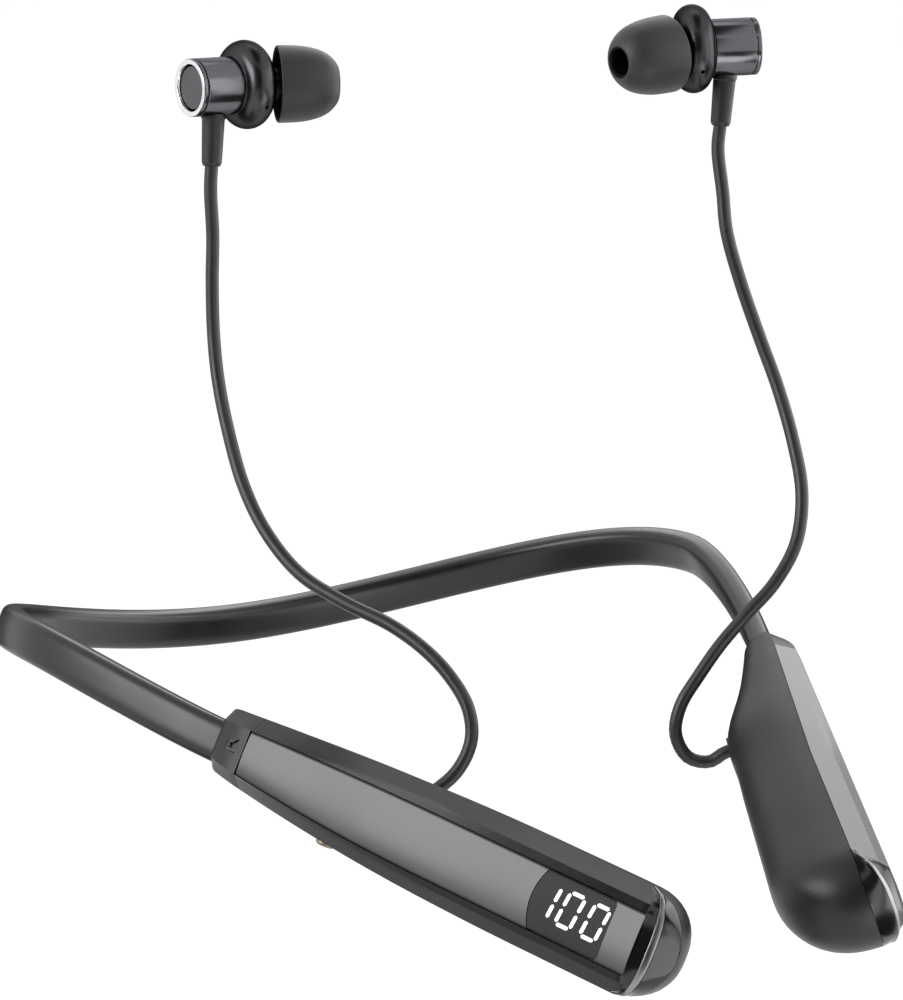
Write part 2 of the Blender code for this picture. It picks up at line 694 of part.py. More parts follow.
def build_left_insides(frame, cover, parent):
    length, thickness, depth = USB_SIZE
    mouth = surface_w(USB_STATION, USB_N) + USB_SUNK
    low = Vector((USB_STATION - length / 2, USB_N - thickness / 2, mouth))
    high = low + Vector((length, thickness, depth))
    wall, bottom = Vector((USB_WALL, USB_WALL, 0)), Vector((0, 0, 1))
    socket = solid("usb_socket", block(low, high, frame), STEEL, parent)
    boolean(socket, block(low + wall - bottom, high - wall - bottom, frame))
    inset, beside = USB_TONGUE["inset"], (thickness - USB_TONGUE["thickness"]) / 2
    tongue = (low + Vector((inset, beside, USB_TONGUE["setback"])),
              high - Vector((inset, beside, USB_TONGUE["root"])))
    boolean(socket, block(*tongue, frame), "UNION")
    boolean(cover, block(low - Vector((GAP, GAP, 4)), high + Vector((GAP, GAP, 0)), frame))
    solid("power_board", block(*POWER_BOARD, frame), BOARD, parent)
    solid("battery", block(*BATTERY, frame, BATTERY_ROUNDING), CELL, parent)


def bud_frame(name):
    """Axes of an earbud: Z runs from its chrome ring to its ear tip, and X points down its strain relief."""
    bud = BUDS[name]
    yaw, rise = radians(bud["yaw"]), radians(bud["rise"])
    axis = Vector((cos(rise) * cos(yaw), cos(rise) * sin(yaw), sin(rise)))
    down = (axis * axis.z - Vector((0, 0, 1))).normalized()
    frame = Matrix((down, axis.cross(down), axis)).transposed().to_4x4()
    frame.translation = bud["place"]
    return frame


def nozzle_frame(name):
    """Axes of a nozzle and its ear tip, turned forwards and down at the middle of the housing."""
    cant = Matrix.Rotation(radians(-SIDES[name] * NOZZLE_CANT), 4, "X")
    droop = Matrix.Rotation(radians(BUDS[name]["droop"]), 4, "Y")
    return bud_frame(name) @ Matrix.Translation((0, 0, BULGE["centre"][1])) @ cant @ droop


def bulge_points():
    """The housing's bulge, from its back round its widest place to its front."""
    radius, u = BULGE["centre"]
    wide, deep = BULGE["radii"]
    steps = BULGE["points"] - 1
    angles = [radians(BULGE["reach"] * (2 * i / steps - 1)) for i in range(steps + 1)]
    return [(radius + wide * cos(a), u + deep * sin(a)) for a in angles]


def skirt_points():
    """The ear tip's outside, from beside its mouth back to its rim."""
    power = SKIRT["fullness"]
    shares = [(u - SKIRT["start"]) / SKIRT["length"] for u in SKIRT_STATIONS]
    return [(SKIRT["radius"] * (1 - share ** power) ** (1 / power), u)
            for u, share in zip(SKIRT_STATIONS, shares)]


def build_earbud(name, parent):
    frame = bud_frame(name)
    outer, inner = BARREL_RADIUS, BARREL_RADIUS - BARREL_WALL
    back, front = BARREL_ENDS
    chamfer, run = BARREL_EDGE
    profile = ((inner, back), (outer - chamfer, back), (outer, back + run), (outer, front), (inner, front))
    barrel = solid(f"{name}_bud_barrel", turned(profile, BUD_STEPS, frame), GUNMETAL, parent)
    solid(f"{name}_bud_ring", turned(RING_PROFILE, BUD_STEPS, frame), CHROME, parent)
    solid(f"{name}_bud_disc", disc(*END_DISC, BUD_STEPS, frame), GUNMETAL, parent)
    solid(f"{name}_bud_magnet", disc(*HOLDING_MAGNET, INNER_STEPS, frame), MAGNET, parent)
    solid(f"{name}_bud_driver", disc(*DRIVER, INNER_STEPS, frame), MAGNET, parent)
    outline = (*HOUSING_BACK, *bulge_points(), *HOUSING_FRONT, *HOUSING_HOLLOW)
    housing = solid(f"{name}_bud_housing", turned(outline, BUD_STEPS, frame), GUNMETAL, parent)
    nozzle = nozzle_frame(name)
    boolean(housing, turned(NOZZLE_PROFILE, INNER_STEPS, nozzle), "UNION")
    boolean(housing, disc(*NOZZLE_BORE, INNER_STEPS, nozzle))
    solid(f"{name}_nozzle_mesh", disc(*NOZZLE_MESH, INNER_STEPS, nozzle), STEEL, parent)
    tip_axis = pivot(f"{name}_ear_tip_axis", nozzle.translation)
    tip = (TIP_MOUTH, *skirt_points(), *TIP_INSIDE)
    solid(f"{name}_ear_tip", turned(tip, BUD_STEPS, nozzle), SILICONE, tip_axis)
    tip_axis.parent = parent
    tip_axis.location -= parent.location

    relief = relief_frame(name)
    top, bottom = RELIEF_RADII
    start, end = RELIEF_REACH
    outline = ((0, start), (top, start), (top, start + RELIEF_COLLAR), (bottom, end - RELIEF_EDGE),
               (bottom - RELIEF_EDGE, end), (0, end))
    solid(f"{name}_strain_relief", turned(outline, INNER_STEPS, relief), SILICONE, parent)
    boolean(barrel, disc(top + GAP, start - 2, end, INNER_STEPS, relief))
    return relief


def relief_frame(name):
    """Axes of the strain relief: Z points down from the barrel's axis, and leans as the cord pulls it."""
    frame = bud_frame(name)
    lean = radians(BUDS[name]["lean"])
    turn = (frame.to_3x3() @ Matrix.Rotation(pi / 2 + lean, 3, "Y")).to_4x4()
    turn.translation = frame @ Vector((0, 0, RELIEF_U))
    return turn


def build_cord(name, relief, grommet, parent):
    """The free cord: straight out of the strain relief, through its route and into the grommet."""
    start = [relief @ Vector((0, 0, RELIEF_REACH[1] + step)) for step in (GAP, CORD_STRAIGHT)]
    end = grommet @ Vector((0, 0, GROMMET_PROUD + GAP))
    route = [*start, *(Vector(point) for point in CORD_ROUTES[name]), end]
    points = smooth_route(route, CORD_STEP)
    length = sum((b - a).length for a, b in zip(points, points[1:]))
    print(f"{name} cord {length:.1f} mm on {len(points)} points")
    tube(f"{name}_cord", points, CORD_DIAMETER, 2, SILICONE, parent)


def build():
    clear_scene()
    pivots = {name: pivot(f"{name}_arm_axis", mirrored(CORNER, side)) for name, side in SIDES.items()}
    build_band(pivots)
    for name, side in SIDES.items():
        frame, shell, cover, plate = build_pod(name, side, pivots[name])
        if name == "right":
            build_right_insides(frame, shell, cover, plate, pivots[name])
        else:
            build_left_insides(frame, cover, pivots[name])
        relief = build_earbud(name, pivots[name])
        build_cord(name, relief, grommet_frame(frame), pivots[name])


build()
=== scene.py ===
# Neckband earphones in the worn pose: the looks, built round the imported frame.
# Sizes are in millimetres, and each finished mesh is scaled to metres.

import json
from math import cos, exp, pi, radians, sin, sqrt

import bmesh
import bpy
from mathutils import Matrix, Vector
from mathutils.geometry import interpolate_bezier

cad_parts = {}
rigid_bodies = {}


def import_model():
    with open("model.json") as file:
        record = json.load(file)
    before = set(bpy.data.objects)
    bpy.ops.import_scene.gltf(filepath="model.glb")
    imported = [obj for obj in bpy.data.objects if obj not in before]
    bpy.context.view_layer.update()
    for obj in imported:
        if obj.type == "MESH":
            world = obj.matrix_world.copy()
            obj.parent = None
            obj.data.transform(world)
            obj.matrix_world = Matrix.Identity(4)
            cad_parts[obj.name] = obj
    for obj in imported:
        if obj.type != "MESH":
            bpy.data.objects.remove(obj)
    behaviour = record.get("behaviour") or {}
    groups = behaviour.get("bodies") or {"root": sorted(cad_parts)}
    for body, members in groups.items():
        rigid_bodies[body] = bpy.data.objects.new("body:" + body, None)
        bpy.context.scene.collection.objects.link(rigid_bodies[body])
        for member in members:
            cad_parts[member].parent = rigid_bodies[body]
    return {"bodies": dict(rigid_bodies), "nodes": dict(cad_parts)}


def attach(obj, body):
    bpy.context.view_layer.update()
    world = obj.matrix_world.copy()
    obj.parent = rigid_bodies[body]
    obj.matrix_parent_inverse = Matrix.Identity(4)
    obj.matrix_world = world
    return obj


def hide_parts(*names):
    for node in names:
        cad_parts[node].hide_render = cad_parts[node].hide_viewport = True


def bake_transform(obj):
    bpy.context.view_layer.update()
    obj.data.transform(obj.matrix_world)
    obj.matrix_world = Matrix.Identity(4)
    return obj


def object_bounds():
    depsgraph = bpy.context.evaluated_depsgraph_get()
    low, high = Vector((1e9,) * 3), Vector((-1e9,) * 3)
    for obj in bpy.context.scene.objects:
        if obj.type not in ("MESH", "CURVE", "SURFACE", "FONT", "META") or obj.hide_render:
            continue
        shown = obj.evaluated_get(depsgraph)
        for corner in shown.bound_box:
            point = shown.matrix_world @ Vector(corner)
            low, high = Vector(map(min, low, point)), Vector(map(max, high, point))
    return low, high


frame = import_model()
kept = {*frame["nodes"].values(), *frame["bodies"].values()}
for spare in [thing for thing in bpy.data.objects if thing not in kept]:
    bpy.data.objects.remove(spare)
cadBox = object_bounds()
mm = 0.001
sides = {"right": -1, "left": 1}
print("frame loaded with", len(frame["nodes"]), "nodes")


# Camera, lights and the pale stage

view = {"azimuth": -30, "elevation": 12, "distance": 600, "target": (0, -75, 36), "lens": 136.08}


def linkObject(name, data):
    made = bpy.data.objects.new(name, data)
    bpy.context.collection.objects.link(made)
    return made


def meshObject(name, bm):
    mesh = bpy.data.meshes.new(name)
    bm.to_mesh(mesh)
    bm.free()
    return linkObject(name, mesh)


def stand(thing, azimuth, elevation, distance):
    # Somewhere round the object's middle, and turned to face it
    a, e = radians(azimuth), radians(elevation)
    target = Vector(view["target"])
    place = target + Vector((sin(a) * cos(e), -cos(a) * cos(e), sin(e))) * distance
    thing.location = place * mm
    thing.rotation_euler = (target - place).to_track_quat("-Z", "Y").to_euler()


def makeCamera():
    lens = bpy.data.cameras.new("photoCamera")
    lens.lens = view["lens"]
    camera = linkObject("photoCamera", lens)
    stand(camera, view["azimuth"], view["elevation"], view["distance"])
    bpy.context.scene.camera = camera


def toLinear(hexColour):
    channels = [int(hexColour[i:i + 2], 16) / 255 for i in (1, 3, 5)]
    return (*(c / 12.92 if c <= 0.04045 else ((c + 0.055) / 1.055) ** 2.4 for c in channels), 1)


def addNode(tree, kind, settings=None, links=None):
    node = tree.nodes.new("ShaderNode" + kind)
    for name, value in (settings or {}).items():
        if isinstance(name, str) and hasattr(node, name):
            setattr(node, name, value)
        else:
            node.inputs[name].default_value = value
    for name, socket in (links or {}).items():
        tree.links.new(socket, node.inputs[name])
    return node


def newMaterial(name, sockets):
    material = bpy.data.materials.new(name)
    material.use_nodes = True
    shader = material.node_tree.nodes["Principled BSDF"]
    for socket, value in sockets.items():
        shader.inputs[socket].default_value = value
    return material, material.node_tree, shader


# Softboxes beside the wearer's right, behind and in front:
# azimuth, elevation, distance, width, height and watts
lamps = {
    "sideSoftbox": (-92, 21, 900, 620, 420, 4.2),
    "rimSoftbox": (135, 30, 1000, 760, 420, 1.9),
    "frontSoftbox": (30, 12, 800, 300, 760, 0.75),
}
# Cards that show in gloss alone, black where they have no glow: the same, with glow for watts
cards = {
    "topCard": (-30, 81, 900, 560, 808, 0),
    "leftCard": (-42, 20, 1500, 1660, 1600, 0),
    "backCard": (152, -18, 700, 1200, 760, 0),
    "floorCard": (-98, -47, 238, 120, 150, 0),
    "tipCard": (-30, -14, 300, 160, 100, 0),
    "capCard": (12, 4, 157, 60, 60, 0),
    "frontCard": (40, -35, 370, 300, 220, 0),
    "floorShade": (-122, -58, 226, 150, 220, 0.35),
    "rightPanel": (78, 8, 900, 900, 900, 2.8),
    "skyPanel": (155, 67, 841, 420, 230, 1.9),
    "capPanel": (6, -24, 242, 130, 150, 3.0),
}
stage = {"worldLevel": 0.5, "floorDrop": 220, "floorSize": 9000}


def makeLamp(name, azimuth, elevation, distance, width, height, watts):
    light = bpy.data.lights.new(name, "AREA")
    light.shape = "RECTANGLE"
    light.size, light.size_y = width * mm, height * mm
    light.energy = watts
    made = linkObject(name, light)
    stand(made, azimuth, elevation, distance)
    made.visible_camera = False


def flatSheet(name, width, height, material):
    bm = bmesh.new()
    bmesh.ops.create_grid(bm, x_segments=1, y_segments=1, size=0.5)
    bm.transform(Matrix.Diagonal((width * mm, height * mm, 1, 1)))
    made = meshObject(name, bm)
    made.data.materials.append(material)
    return made


def makeCard(name, azimuth, elevation, distance, width, height, glow):
    # Black flock, or a lit diffuser
    paint = newMaterial(name, {"Base Color": toLinear("#050505"), "Emission Color": toLinear("#ffffff"),
                               "Emission Strength": glow})[0]
    made = flatSheet(name, width, height, paint)
    stand(made, azimuth, elevation, distance)
    for ray in ("camera", "diffuse", "transmission", "shadow", "volume_scatter"):
        setattr(made, "visible_" + ray, False)


def seenDirectly(tree):
    # 1 for rays that show the background itself, in the picture, in gloss or through glass
    path = addNode(tree, "LightPath").outputs
    most = {"operation": "MAXIMUM"}
    gloss = addNode(tree, "Math", most, {0: path["Is Camera Ray"], 1: path["Is Glossy Ray"]}).outputs[0]
    return addNode(tree, "Math", most, {0: gloss, 1: path["Is Transmission Ray"]}).outputs[0]


def makeStage():
    world = bpy.data.worlds.new("studio")
    bpy.context.scene.world = world
    world.use_nodes = True
    tree = world.node_tree
    tree.nodes.clear()
    white = toLinear("#ffffff")
    dim = addNode(tree, "Background", {"Color": white, "Strength": stage["worldLevel"]})
    full = addNode(tree, "Background", {"Color": white, "Strength": 1.0})
    mix = addNode(tree, "MixShader", None, {0: seenDirectly(tree), 1: dim.outputs[0], 2: full.outputs[0]})
    addNode(tree, "OutputWorld", None, {"Surface": mix.outputs[0]})

    # Matt white paper: part of its white is lit, so that it keeps a soft shadow
    paper = bpy.data.materials.new("white_paper_floor")
    paper.use_nodes = True
    tree = paper.node_tree
    tree.nodes.clear()
    lit = addNode(tree, "BsdfDiffuse", {"Color": toLinear("#aaaaaa")})
    glow = addNode(tree, "Emission", {"Color": toLinear("#e8e8e8")}, {"Strength": seenDirectly(tree)})
    whole = addNode(tree, "AddShader", None, {0: lit.outputs[0], 1: glow.outputs[0]})
    addNode(tree, "OutputMaterial", None, {"Surface": whole.outputs[0]})
    floor = flatSheet("floor", stage["floorSize"], stage["floorSize"], paper)
    floor.location.z = cadBox[0].z - stage["floorDrop"] * mm

    for name, card in cards.items():
        makeCard(name, *card)
    for name, lamp in lamps.items():
        makeLamp(name, *lamp)
    bpy.context.scene.view_settings.view_transform = "Standard"


makeCamera()
makeStage()
print("camera, lamps and stage are set")


# Materials

def finish(name, tones, mottle, rough, grain=0.3, lift=0.05, ior=1.5, sockets=None):
    # Mottling of so many mm shifts the tone and the polish, a finer grain lifts the surface
    material, tree, shader = newMaterial(name, {"IOR": ior, **(sockets or {})})
    spot = {"Vector": addNode(tree, "TexCoord").outputs["Object"]}
    patch = addNode(tree, "TexNoise", {"Scale": 1 / (mottle * mm), "Detail": 3.0}, spot).outputs["Fac"]
    low, high = (toLinear(tone) for tone in tones)
    tint = addNode(tree, "Mix", {"data_type": "RGBA", 6: low, 7: high}, {0: patch})
    tree.links.new(tint.outputs[2], shader.inputs["Base Color"])
    reach = {"From Min": 0.3, "From Max": 0.7, "To Min": rough[0], "To Max": rough[1]}
    polish = addNode(tree, "MapRange", reach, {"Value": patch})
    tree.links.new(polish.outputs[0], shader.inputs["Roughness"])
    fine = addNode(tree, "TexNoise", {"Scale": 1 / (grain * mm), "Detail": 2.0}, spot).outputs["Fac"]
    bump = addNode(tree, "Bump", {"Strength": lift, "Distance": grain * mm / 4}, {"Height": fine})
    tree.links.new(bump.outputs[0], shader.inputs["Normal"])
    return material


metal = {"Metallic": 1.0}
darkMetal = {"Metallic": 1.0, "Specular Tint": toLinear("#9a9a9a")}  # stays dark at its edges

# Liquid silicone rubber from a blasted mould: near black, satin, a soft broad shine
bandSilicone = finish("moulded_silicone_band", ("#141416", "#1b1b1d"), mottle=9, rough=(0.27, 0.34))
# Soft silicone of an ear tip: thin and rubbery, a duller shine than the band
tipSilicone = finish("soft_silicone_ear_tip", ("#343437", "#3d3d40"), mottle=5, rough=(0.42, 0.52),
    ior=1.43, sockets={"Sheen Weight": 0.05, "Sheen Roughness": 0.4})
# The tip's inner sleeve and the inside of its skirt: the same rubber, painted near black and matt as a
# painted shade, since the housing beside them keeps the light out
tipPaintedShade = finish("ear_tip_painted_shade", ("#060607", "#0a0a0b"), mottle=5, rough=(0.6, 0.7), ior=1.2)
# Extruded TPE cord jacket: dark, satin, a little uneven from the die
cordJacket = finish("extruded_tpe_cord", ("#252527", "#303033"), mottle=3, rough=(0.33, 0.43), grain=0.4,
    lift=0.06)
# Moulded TPE strain relief: the cord's rubber with a matt mould finish
reliefRubber = finish("moulded_tpe_relief", ("#1b1b1d", "#232325"), mottle=3, rough=(0.38, 0.48),
    lift=0.08)
# ABS from a finely eroded mould: satin black, fine even grain
satinAbs = finish("satin_moulded_abs", ("#151517", "#1b1b1d"), mottle=12, rough=(0.36, 0.44), grain=0.25,
    lift=0.1, ior=1.47)
# ABS under a clear UV lacquer: black with a deep gloss, a trace of orange peel
glossAbs = finish("uv_lacquered_abs", ("#131314", "#19191a"), mottle=14, rough=(0.14, 0.2), grain=1.6,
    lift=0.015, ior=1.53)
# The face plate's graphite lacquer: fine flake under clear coat, a softened mirror
faceLacquer = finish("graphite_lacquer_face", ("#2c2c2f", "#343437"), mottle=16, rough=(0.2, 0.26),
    grain=0.2, lift=0.03, ior=1.55)
# Gunmetal plate on the buds' barrels: dark metal, polished but not a mirror
gunmetal = finish("gunmetal_plate", ("#626366", "#6d6e71"), mottle=5, rough=(0.16, 0.22), grain=0.8,
    lift=0.01, sockets=darkMetal)
# Black nickel plate on the buds' housings: darker, with a blurred shine
blackNickel = finish("black_nickel_plate", ("#444446", "#4c4c4e"), mottle=6, rough=(0.27, 0.33),
    grain=0.8, lift=0.01, sockets=darkMetal)
# Bright chrome plate: almost white mirror
chromePlate = finish("bright_chrome_plate", ("#e6e7e9", "#f0f0f2"), mottle=4, rough=(0.1, 0.16),
    grain=0.6, lift=0.01, sockets=metal)
# Satin nickel trim: softer and greyer than chrome
satinTrim = finish("satin_nickel_trim", ("#88898b", "#949597"), mottle=3, rough=(0.3, 0.4), grain=0.25,
    sockets=metal)
# Blasted aluminium end disc under a matt coat: mid grey, no sharp reflections
discMetal = finish("blasted_aluminium_disc", ("#4f5053", "#59595c"), mottle=2, rough=(0.5, 0.6),
    grain=0.2, lift=0.1, sockets={"Metallic": 0.3})
# Smoked acrylic with an anti-glare coat: deep grey, a soft weak shine
smokedAcrylic = finish("smoked_acrylic_window", ("#2b2b2c", "#303031"), mottle=10, rough=(0.42, 0.5),
    grain=2.0, lift=0.005, ior=1.3)
# Worn brass key: warm and dull, with an uneven polish
brassKey = finish("worn_brass_key", ("#857a68", "#9c907c"), mottle=1, rough=(0.3, 0.42), grain=0.2,
    lift=0.1, sockets=metal)
# Drawn spring steel of the memory wire and the socket's shell: bright, finely scratched
springSteel = finish("drawn_spring_steel", ("#8d8f92", "#a3a5a8"), mottle=2, rough=(0.28, 0.38),
    grain=0.2, lift=0.08, sockets=metal)
# Nickel on magnets and cans: warm white metal
magnetNickel = finish("nickel_plated_magnet", ("#b3b0a8", "#c2bfb8"), mottle=2, rough=(0.2, 0.3),
    lift=0.04, sockets=metal)
# Laminated foil of a pouch cell: pale, creased
cellFoil = finish("aluminium_cell_foil", ("#b9bbbe", "#d0d2d4"), mottle=5, rough=(0.3, 0.45), grain=1.2,
    lift=0.2, sockets={"Metallic": 0.9})
# Solder mask, PVC cable jacket and the diffuser of the diodes
boardMask = finish("green_solder_mask", ("#11402a", "#1a5638"), mottle=3, rough=(0.35, 0.5), grain=0.5,
    lift=0.15)
cableVinyl = finish("black_cable_jacket", ("#1c1c1e", "#262628"), mottle=3, rough=(0.5, 0.6), lift=0.08)
ledPanel = finish("white_led_panel", ("#d5d6d8", "#e2e3e5"), mottle=2, rough=(0.45, 0.55), grain=0.4)


def litSegments():
    # White diodes behind a diffuser: a glow that is a touch uneven over 1.5 mm
    sockets = {"Base Color": toLinear("#e8e8e8"), "Roughness": 0.5, "Emission Strength": 1.0}
    material, tree, shader = newMaterial("lit_led_segment", sockets)
    spot = addNode(tree, "TexCoord").outputs["Object"]
    glow = addNode(tree, "TexNoise", {"Scale": 1 / (1.5 * mm)}, {"Vector": spot}).outputs["Fac"]
    low, high = toLinear("#f4f6f8"), toLinear("#ffffff")
    tint = addNode(tree, "Mix", {"data_type": "RGBA", 6: low, 7: high}, {0: glow})
    tree.links.new(tint.outputs[2], shader.inputs["Emission Color"])
    return material


def wovenMesh():
    # Woven steel gauze: round holes between bright wires, drawn at 0.35 mm so that they show
    material, tree, shader = newMaterial("woven_steel_gauze", {"Metallic": 1.0, "Roughness": 0.35})
    spot = addNode(tree, "TexCoord").outputs["Object"]
    holes = addNode(tree, "TexVoronoi", {"Scale": 1 / (0.35 * mm)}, {"Vector": spot}).outputs[0]
    edge = addNode(tree, "MapRange", {"From Min": 0.25, "From Max": 0.4}, {"Value": holes}).outputs[0]
    low, high = toLinear("#050505"), toLinear("#8a8b8d")
    tint = addNode(tree, "Mix", {"data_type": "RGBA", 6: low, 7: high}, {0: edge})
    tree.links.new(tint.outputs[2], shader.inputs["Base Color"])
    return material


ledSegments = litSegments()
steelGauze = wovenMesh()
print("materials are made:", len(bpy.data.materials))


# Modelling helpers

def loftRings(rings):
    bm = bmesh.new()
    loops = []
    for ring in rings:
        verts = bmesh.ops.create_circle(bm, segments=len(ring), radius=1)["verts"]
        for vert, point in zip(verts, ring):
            vert.co = point
        loops.append(list(dict.fromkeys(edge for vert in verts for edge in vert.link_edges)))
    for first, second in zip(loops, loops[1:]):
        bmesh.ops.bridge_loops(bm, edges=first + second)
    for loop in (loops[0], loops[-1]):
        bmesh.ops.edgeloop_fill(bm, edges=loop)
    return bm


def sheetOf(rows):
    bm = bmesh.new()
    across, along = len(rows[0]) - 1, len(rows) - 1
    bmesh.ops.create_grid(bm, x_segments=across, y_segments=along, size=0.5)
    for vert in bm.verts:
        row, column = round((vert.co.y + 0.5) * along), round((vert.co.x + 0.5) * across)
        vert.co = rows[row][column]
    return bm


def mergeDoubles(bm):
    bmesh.ops.remove_doubles(bm, verts=bm.verts, dist=0.0005)


def filleted(points, steps=4):
    # (radius, u, fillet) corners of a closed outline, with the filleted ones rounded
    made = []
    for i, (radius, u, fillet) in enumerate(points):
        corner = Vector((radius, u))
        if not fillet:
            made.append(corner)
            continue
        before = Vector(points[i - 1][:2]) - corner
        after = Vector(points[(i + 1) % len(points)][:2]) - corner
        start = corner + before * min(0.49, fillet / before.length)
        end = corner + after * min(0.49, fillet / after.length)
        for k in range(steps + 1):
            t = k / steps
            made.append(start * (1 - t) ** 2 + corner * 2 * t * (1 - t) + end * t ** 2)
    return made


def turned(points, axes, steps=96):
    bm = bmesh.new()
    verts = [bm.verts.new((max(0, point.x), 0, point.y)) for point in filleted(points)]
    edges = [bm.edges.new(pair) for pair in zip(verts, verts[1:] + verts[:1])
             if pair[0].co.x > 0 or pair[1].co.x > 0]
    bmesh.ops.spin(bm, geom=verts + edges, cent=(0, 0, 0), axis=(0, 0, 1), angle=2 * pi, steps=steps,
                   use_merge=True)
    mergeDoubles(bm)
    bm.transform(axes)
    return bm


def peg(radius, low, high, axes, steps):
    # A plain round pin along the frame's Z, to cut with
    return turned(((0, low, 0), (radius, low, 0), (radius, high, 0), (0, high, 0)), axes, steps)


def block(low, high, axes, rounding):
    bm = bmesh.new()
    bmesh.ops.create_cube(bm, size=1)
    low, high = Vector(low), Vector(high)
    bm.transform(Matrix.Translation((low + high) / 2) @ Matrix.Diagonal((*(high - low), 1)))
    bmesh.ops.bevel(bm, geom=bm.edges[:], offset=rounding, affect="EDGES", segments=3, profile=0.5,
                    material=-1)
    bm.transform(axes)
    return bm


def solidObject(name, bm):
    # Faces point outwards, and the mesh goes from millimetres to metres
    bmesh.ops.recalc_face_normals(bm, faces=bm.faces)
    if bm.calc_volume(signed=True) < 0:
        bmesh.ops.reverse_faces(bm, faces=bm.faces)
    bm.transform(Matrix.Scale(mm, 4))
    return meshObject(name, bm)


def finishPiece(name, bm, material, sharpness=30):
    piece = solidObject(name, bm)
    piece.data.shade_smooth()
    piece.data.set_sharp_from_angle(angle=radians(sharpness))
    piece.data.materials.append(material)
    return piece


def placePiece(piece, body, nodes):
    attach(piece, body)
    if nodes:
        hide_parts(*nodes)


def placeOnArm(piece, name, node):
    placePiece(piece, f"{name}_arm", [f"{name}_{node}"])


def cutWith(piece, bm, sharpness=30, operation="DIFFERENCE"):
    # The cut or union is made at once, so that no modifier or cutter is left
    cutter = solidObject("cutter", bm)
    modifier = piece.modifiers.new("cut", "BOOLEAN")
    modifier.operation = operation
    modifier.solver = "EXACT"
    modifier.object = cutter
    graph = bpy.context.evaluated_depsgraph_get()
    made = bpy.data.meshes.new_from_object(piece.evaluated_get(graph), depsgraph=graph)
    piece.modifiers.clear()
    piece.data = made
    bpy.data.objects.remove(cutter)
    piece.data.set_sharp_from_angle(angle=radians(sharpness))


def superEllipse(thickness, height, roundness, count):
    points = []
    for i in range(count):
        a = 2 * pi * (i + 0.5) / count
        n = abs(cos(a)) ** (2 / roundness) * thickness / 2
        w = abs(sin(a)) ** (2 / roundness) * height / 2
        points.append((n if cos(a) > 0 else -n, w if sin(a) > 0 else -w))
    return points


def resample(points, step):
    lengths = [0]
    for first, second in zip(points, points[1:]):
        lengths.append(lengths[-1] + (second - first).length)
    count = max(1, round(lengths[-1] / step))
    places, distances, k = [], [], 0
    for i in range(count + 1):
        goal = lengths[-1] * i / count
        while k < len(points) - 2 and lengths[k + 1] < goal:
            k += 1
        share = (goal - lengths[k]) / (lengths[k + 1] - lengths[k])
        places.append(points[k].lerp(points[k + 1], share))
        distances.append(goal)
    return places, distances


def mirrored(point, side):
    return Vector((side * point[0], point[1], point[2]))


# Pod shape: s runs along a pod from its collar point, n is outwards and w is up across it

pod = {
    "collarPoint": (50, -90.5, 7.5), "tipPoint": (15.5, -162, -10.9), "lean": 20, "middle": 45,
    "halfHeight": (4.7, 8.1, 60), "faceOffset": (5.0, 8.0, 80), "innerDepth": (2.8, 9.7, 45),
    "facetDepth": 4.3, "facetLift": 1.5, "stripLength": 47, "strip": (1.1, 1.18),
    "plateHalf": 4.65, "plateTaper": (1.85, 46), "plateEnds": (8.8, 80.1), "rise": (0.84, 46),
    "tipStart": 77, "tipRadius": 8.1, "tipSweep": 1.2, "tipCurve": 2.4, "domeStart": 71, "domePower": 2.5,
    "exit": 26, "exitBulge": (1.6, 8), "innerEase": 1.25, "seam": 0.05,
    "faceDrop": 0.5, "archStart": 80.25, "archLength": 1.5, "archPower": 2.2,
}


def leantAcross(along, side, degrees):
    # The outward and the upward direction across a line, leant back
    up = (Vector((0, 0, 1)) - along * along.z).normalized()
    out = side * up.cross(along)
    lean = radians(degrees)
    return out * cos(lean) + up * sin(lean), up * cos(lean) - out * sin(lean)


def podFrame(side):
    start, tip = (mirrored(pod[key], side) for key in ("collarPoint", "tipPoint"))
    along = (tip - start).normalized()
    axes = Matrix((along, *leantAcross(along, side, pod["lean"]))).transposed().to_4x4()
    axes.translation = start
    return axes


def turnedFrame(axes, angle, axis, place):
    turn = (axes.to_3x3() @ Matrix.Rotation(angle, 3, axis)).to_4x4()
    turn.translation = place
    return turn


def easeOut(share):
    return 1 - (1 - min(1, share)) ** 2


def quarterRound(share):
    return sqrt(1 - min(1, max(0, share)) ** 2)


def tipAngle(s):
    return max(0, s - pod["tipStart"]) * radians(pod["tipSweep"])


def halfHeight(s):
    low, high, length = pod["halfHeight"]
    return (low + (high - low) * easeOut(s / length)) * cos(tipAngle(s))


def faceLine(s):
    low, high, length = pod["faceOffset"]
    return low + (high - low) * min(s, length) / length


def faceOffset(s):
    return faceLine(s) - max(0, s - pod["plateEnds"][1]) * pod["faceDrop"]


def parting(s):
    lift = pod["facetLift"] * (1 - min(1, s / pod["stripLength"]))
    return faceLine(s) - pod["facetDepth"] + lift


def innerDepth(s):
    low, high, length = pod["innerDepth"]
    height, width = pod["exitBulge"]
    flare = easeOut((s / length) ** pod["innerEase"])
    full = low + (high - low) * flare + height * exp(-((s - pod["exit"]) / width) ** 2)
    tip = pod["tipStart"] + pod["tipRadius"]
    dome = quarterRound((s - pod["domeStart"]) / (tip - pod["domeStart"]))
    return (full + parting(s)) * dome - parting(s)


def plateHalf(s):
    loss, length = pod["plateTaper"]
    return pod["plateHalf"] - loss * (1 - min(1, s / length)) ** 2


def swept(s, w):
    # Past the tip's start a section bows: full in the middle, least at the parting edges
    start = pod["tipStart"]
    if s <= start:
        return s
    edge = start + pod["tipRadius"] * sin(tipAngle(s))
    share = min(1, abs(w) / halfHeight(s))
    power = pod["tipCurve"]
    return edge + (s - edge) * (1 - share ** power) ** (1 / power)


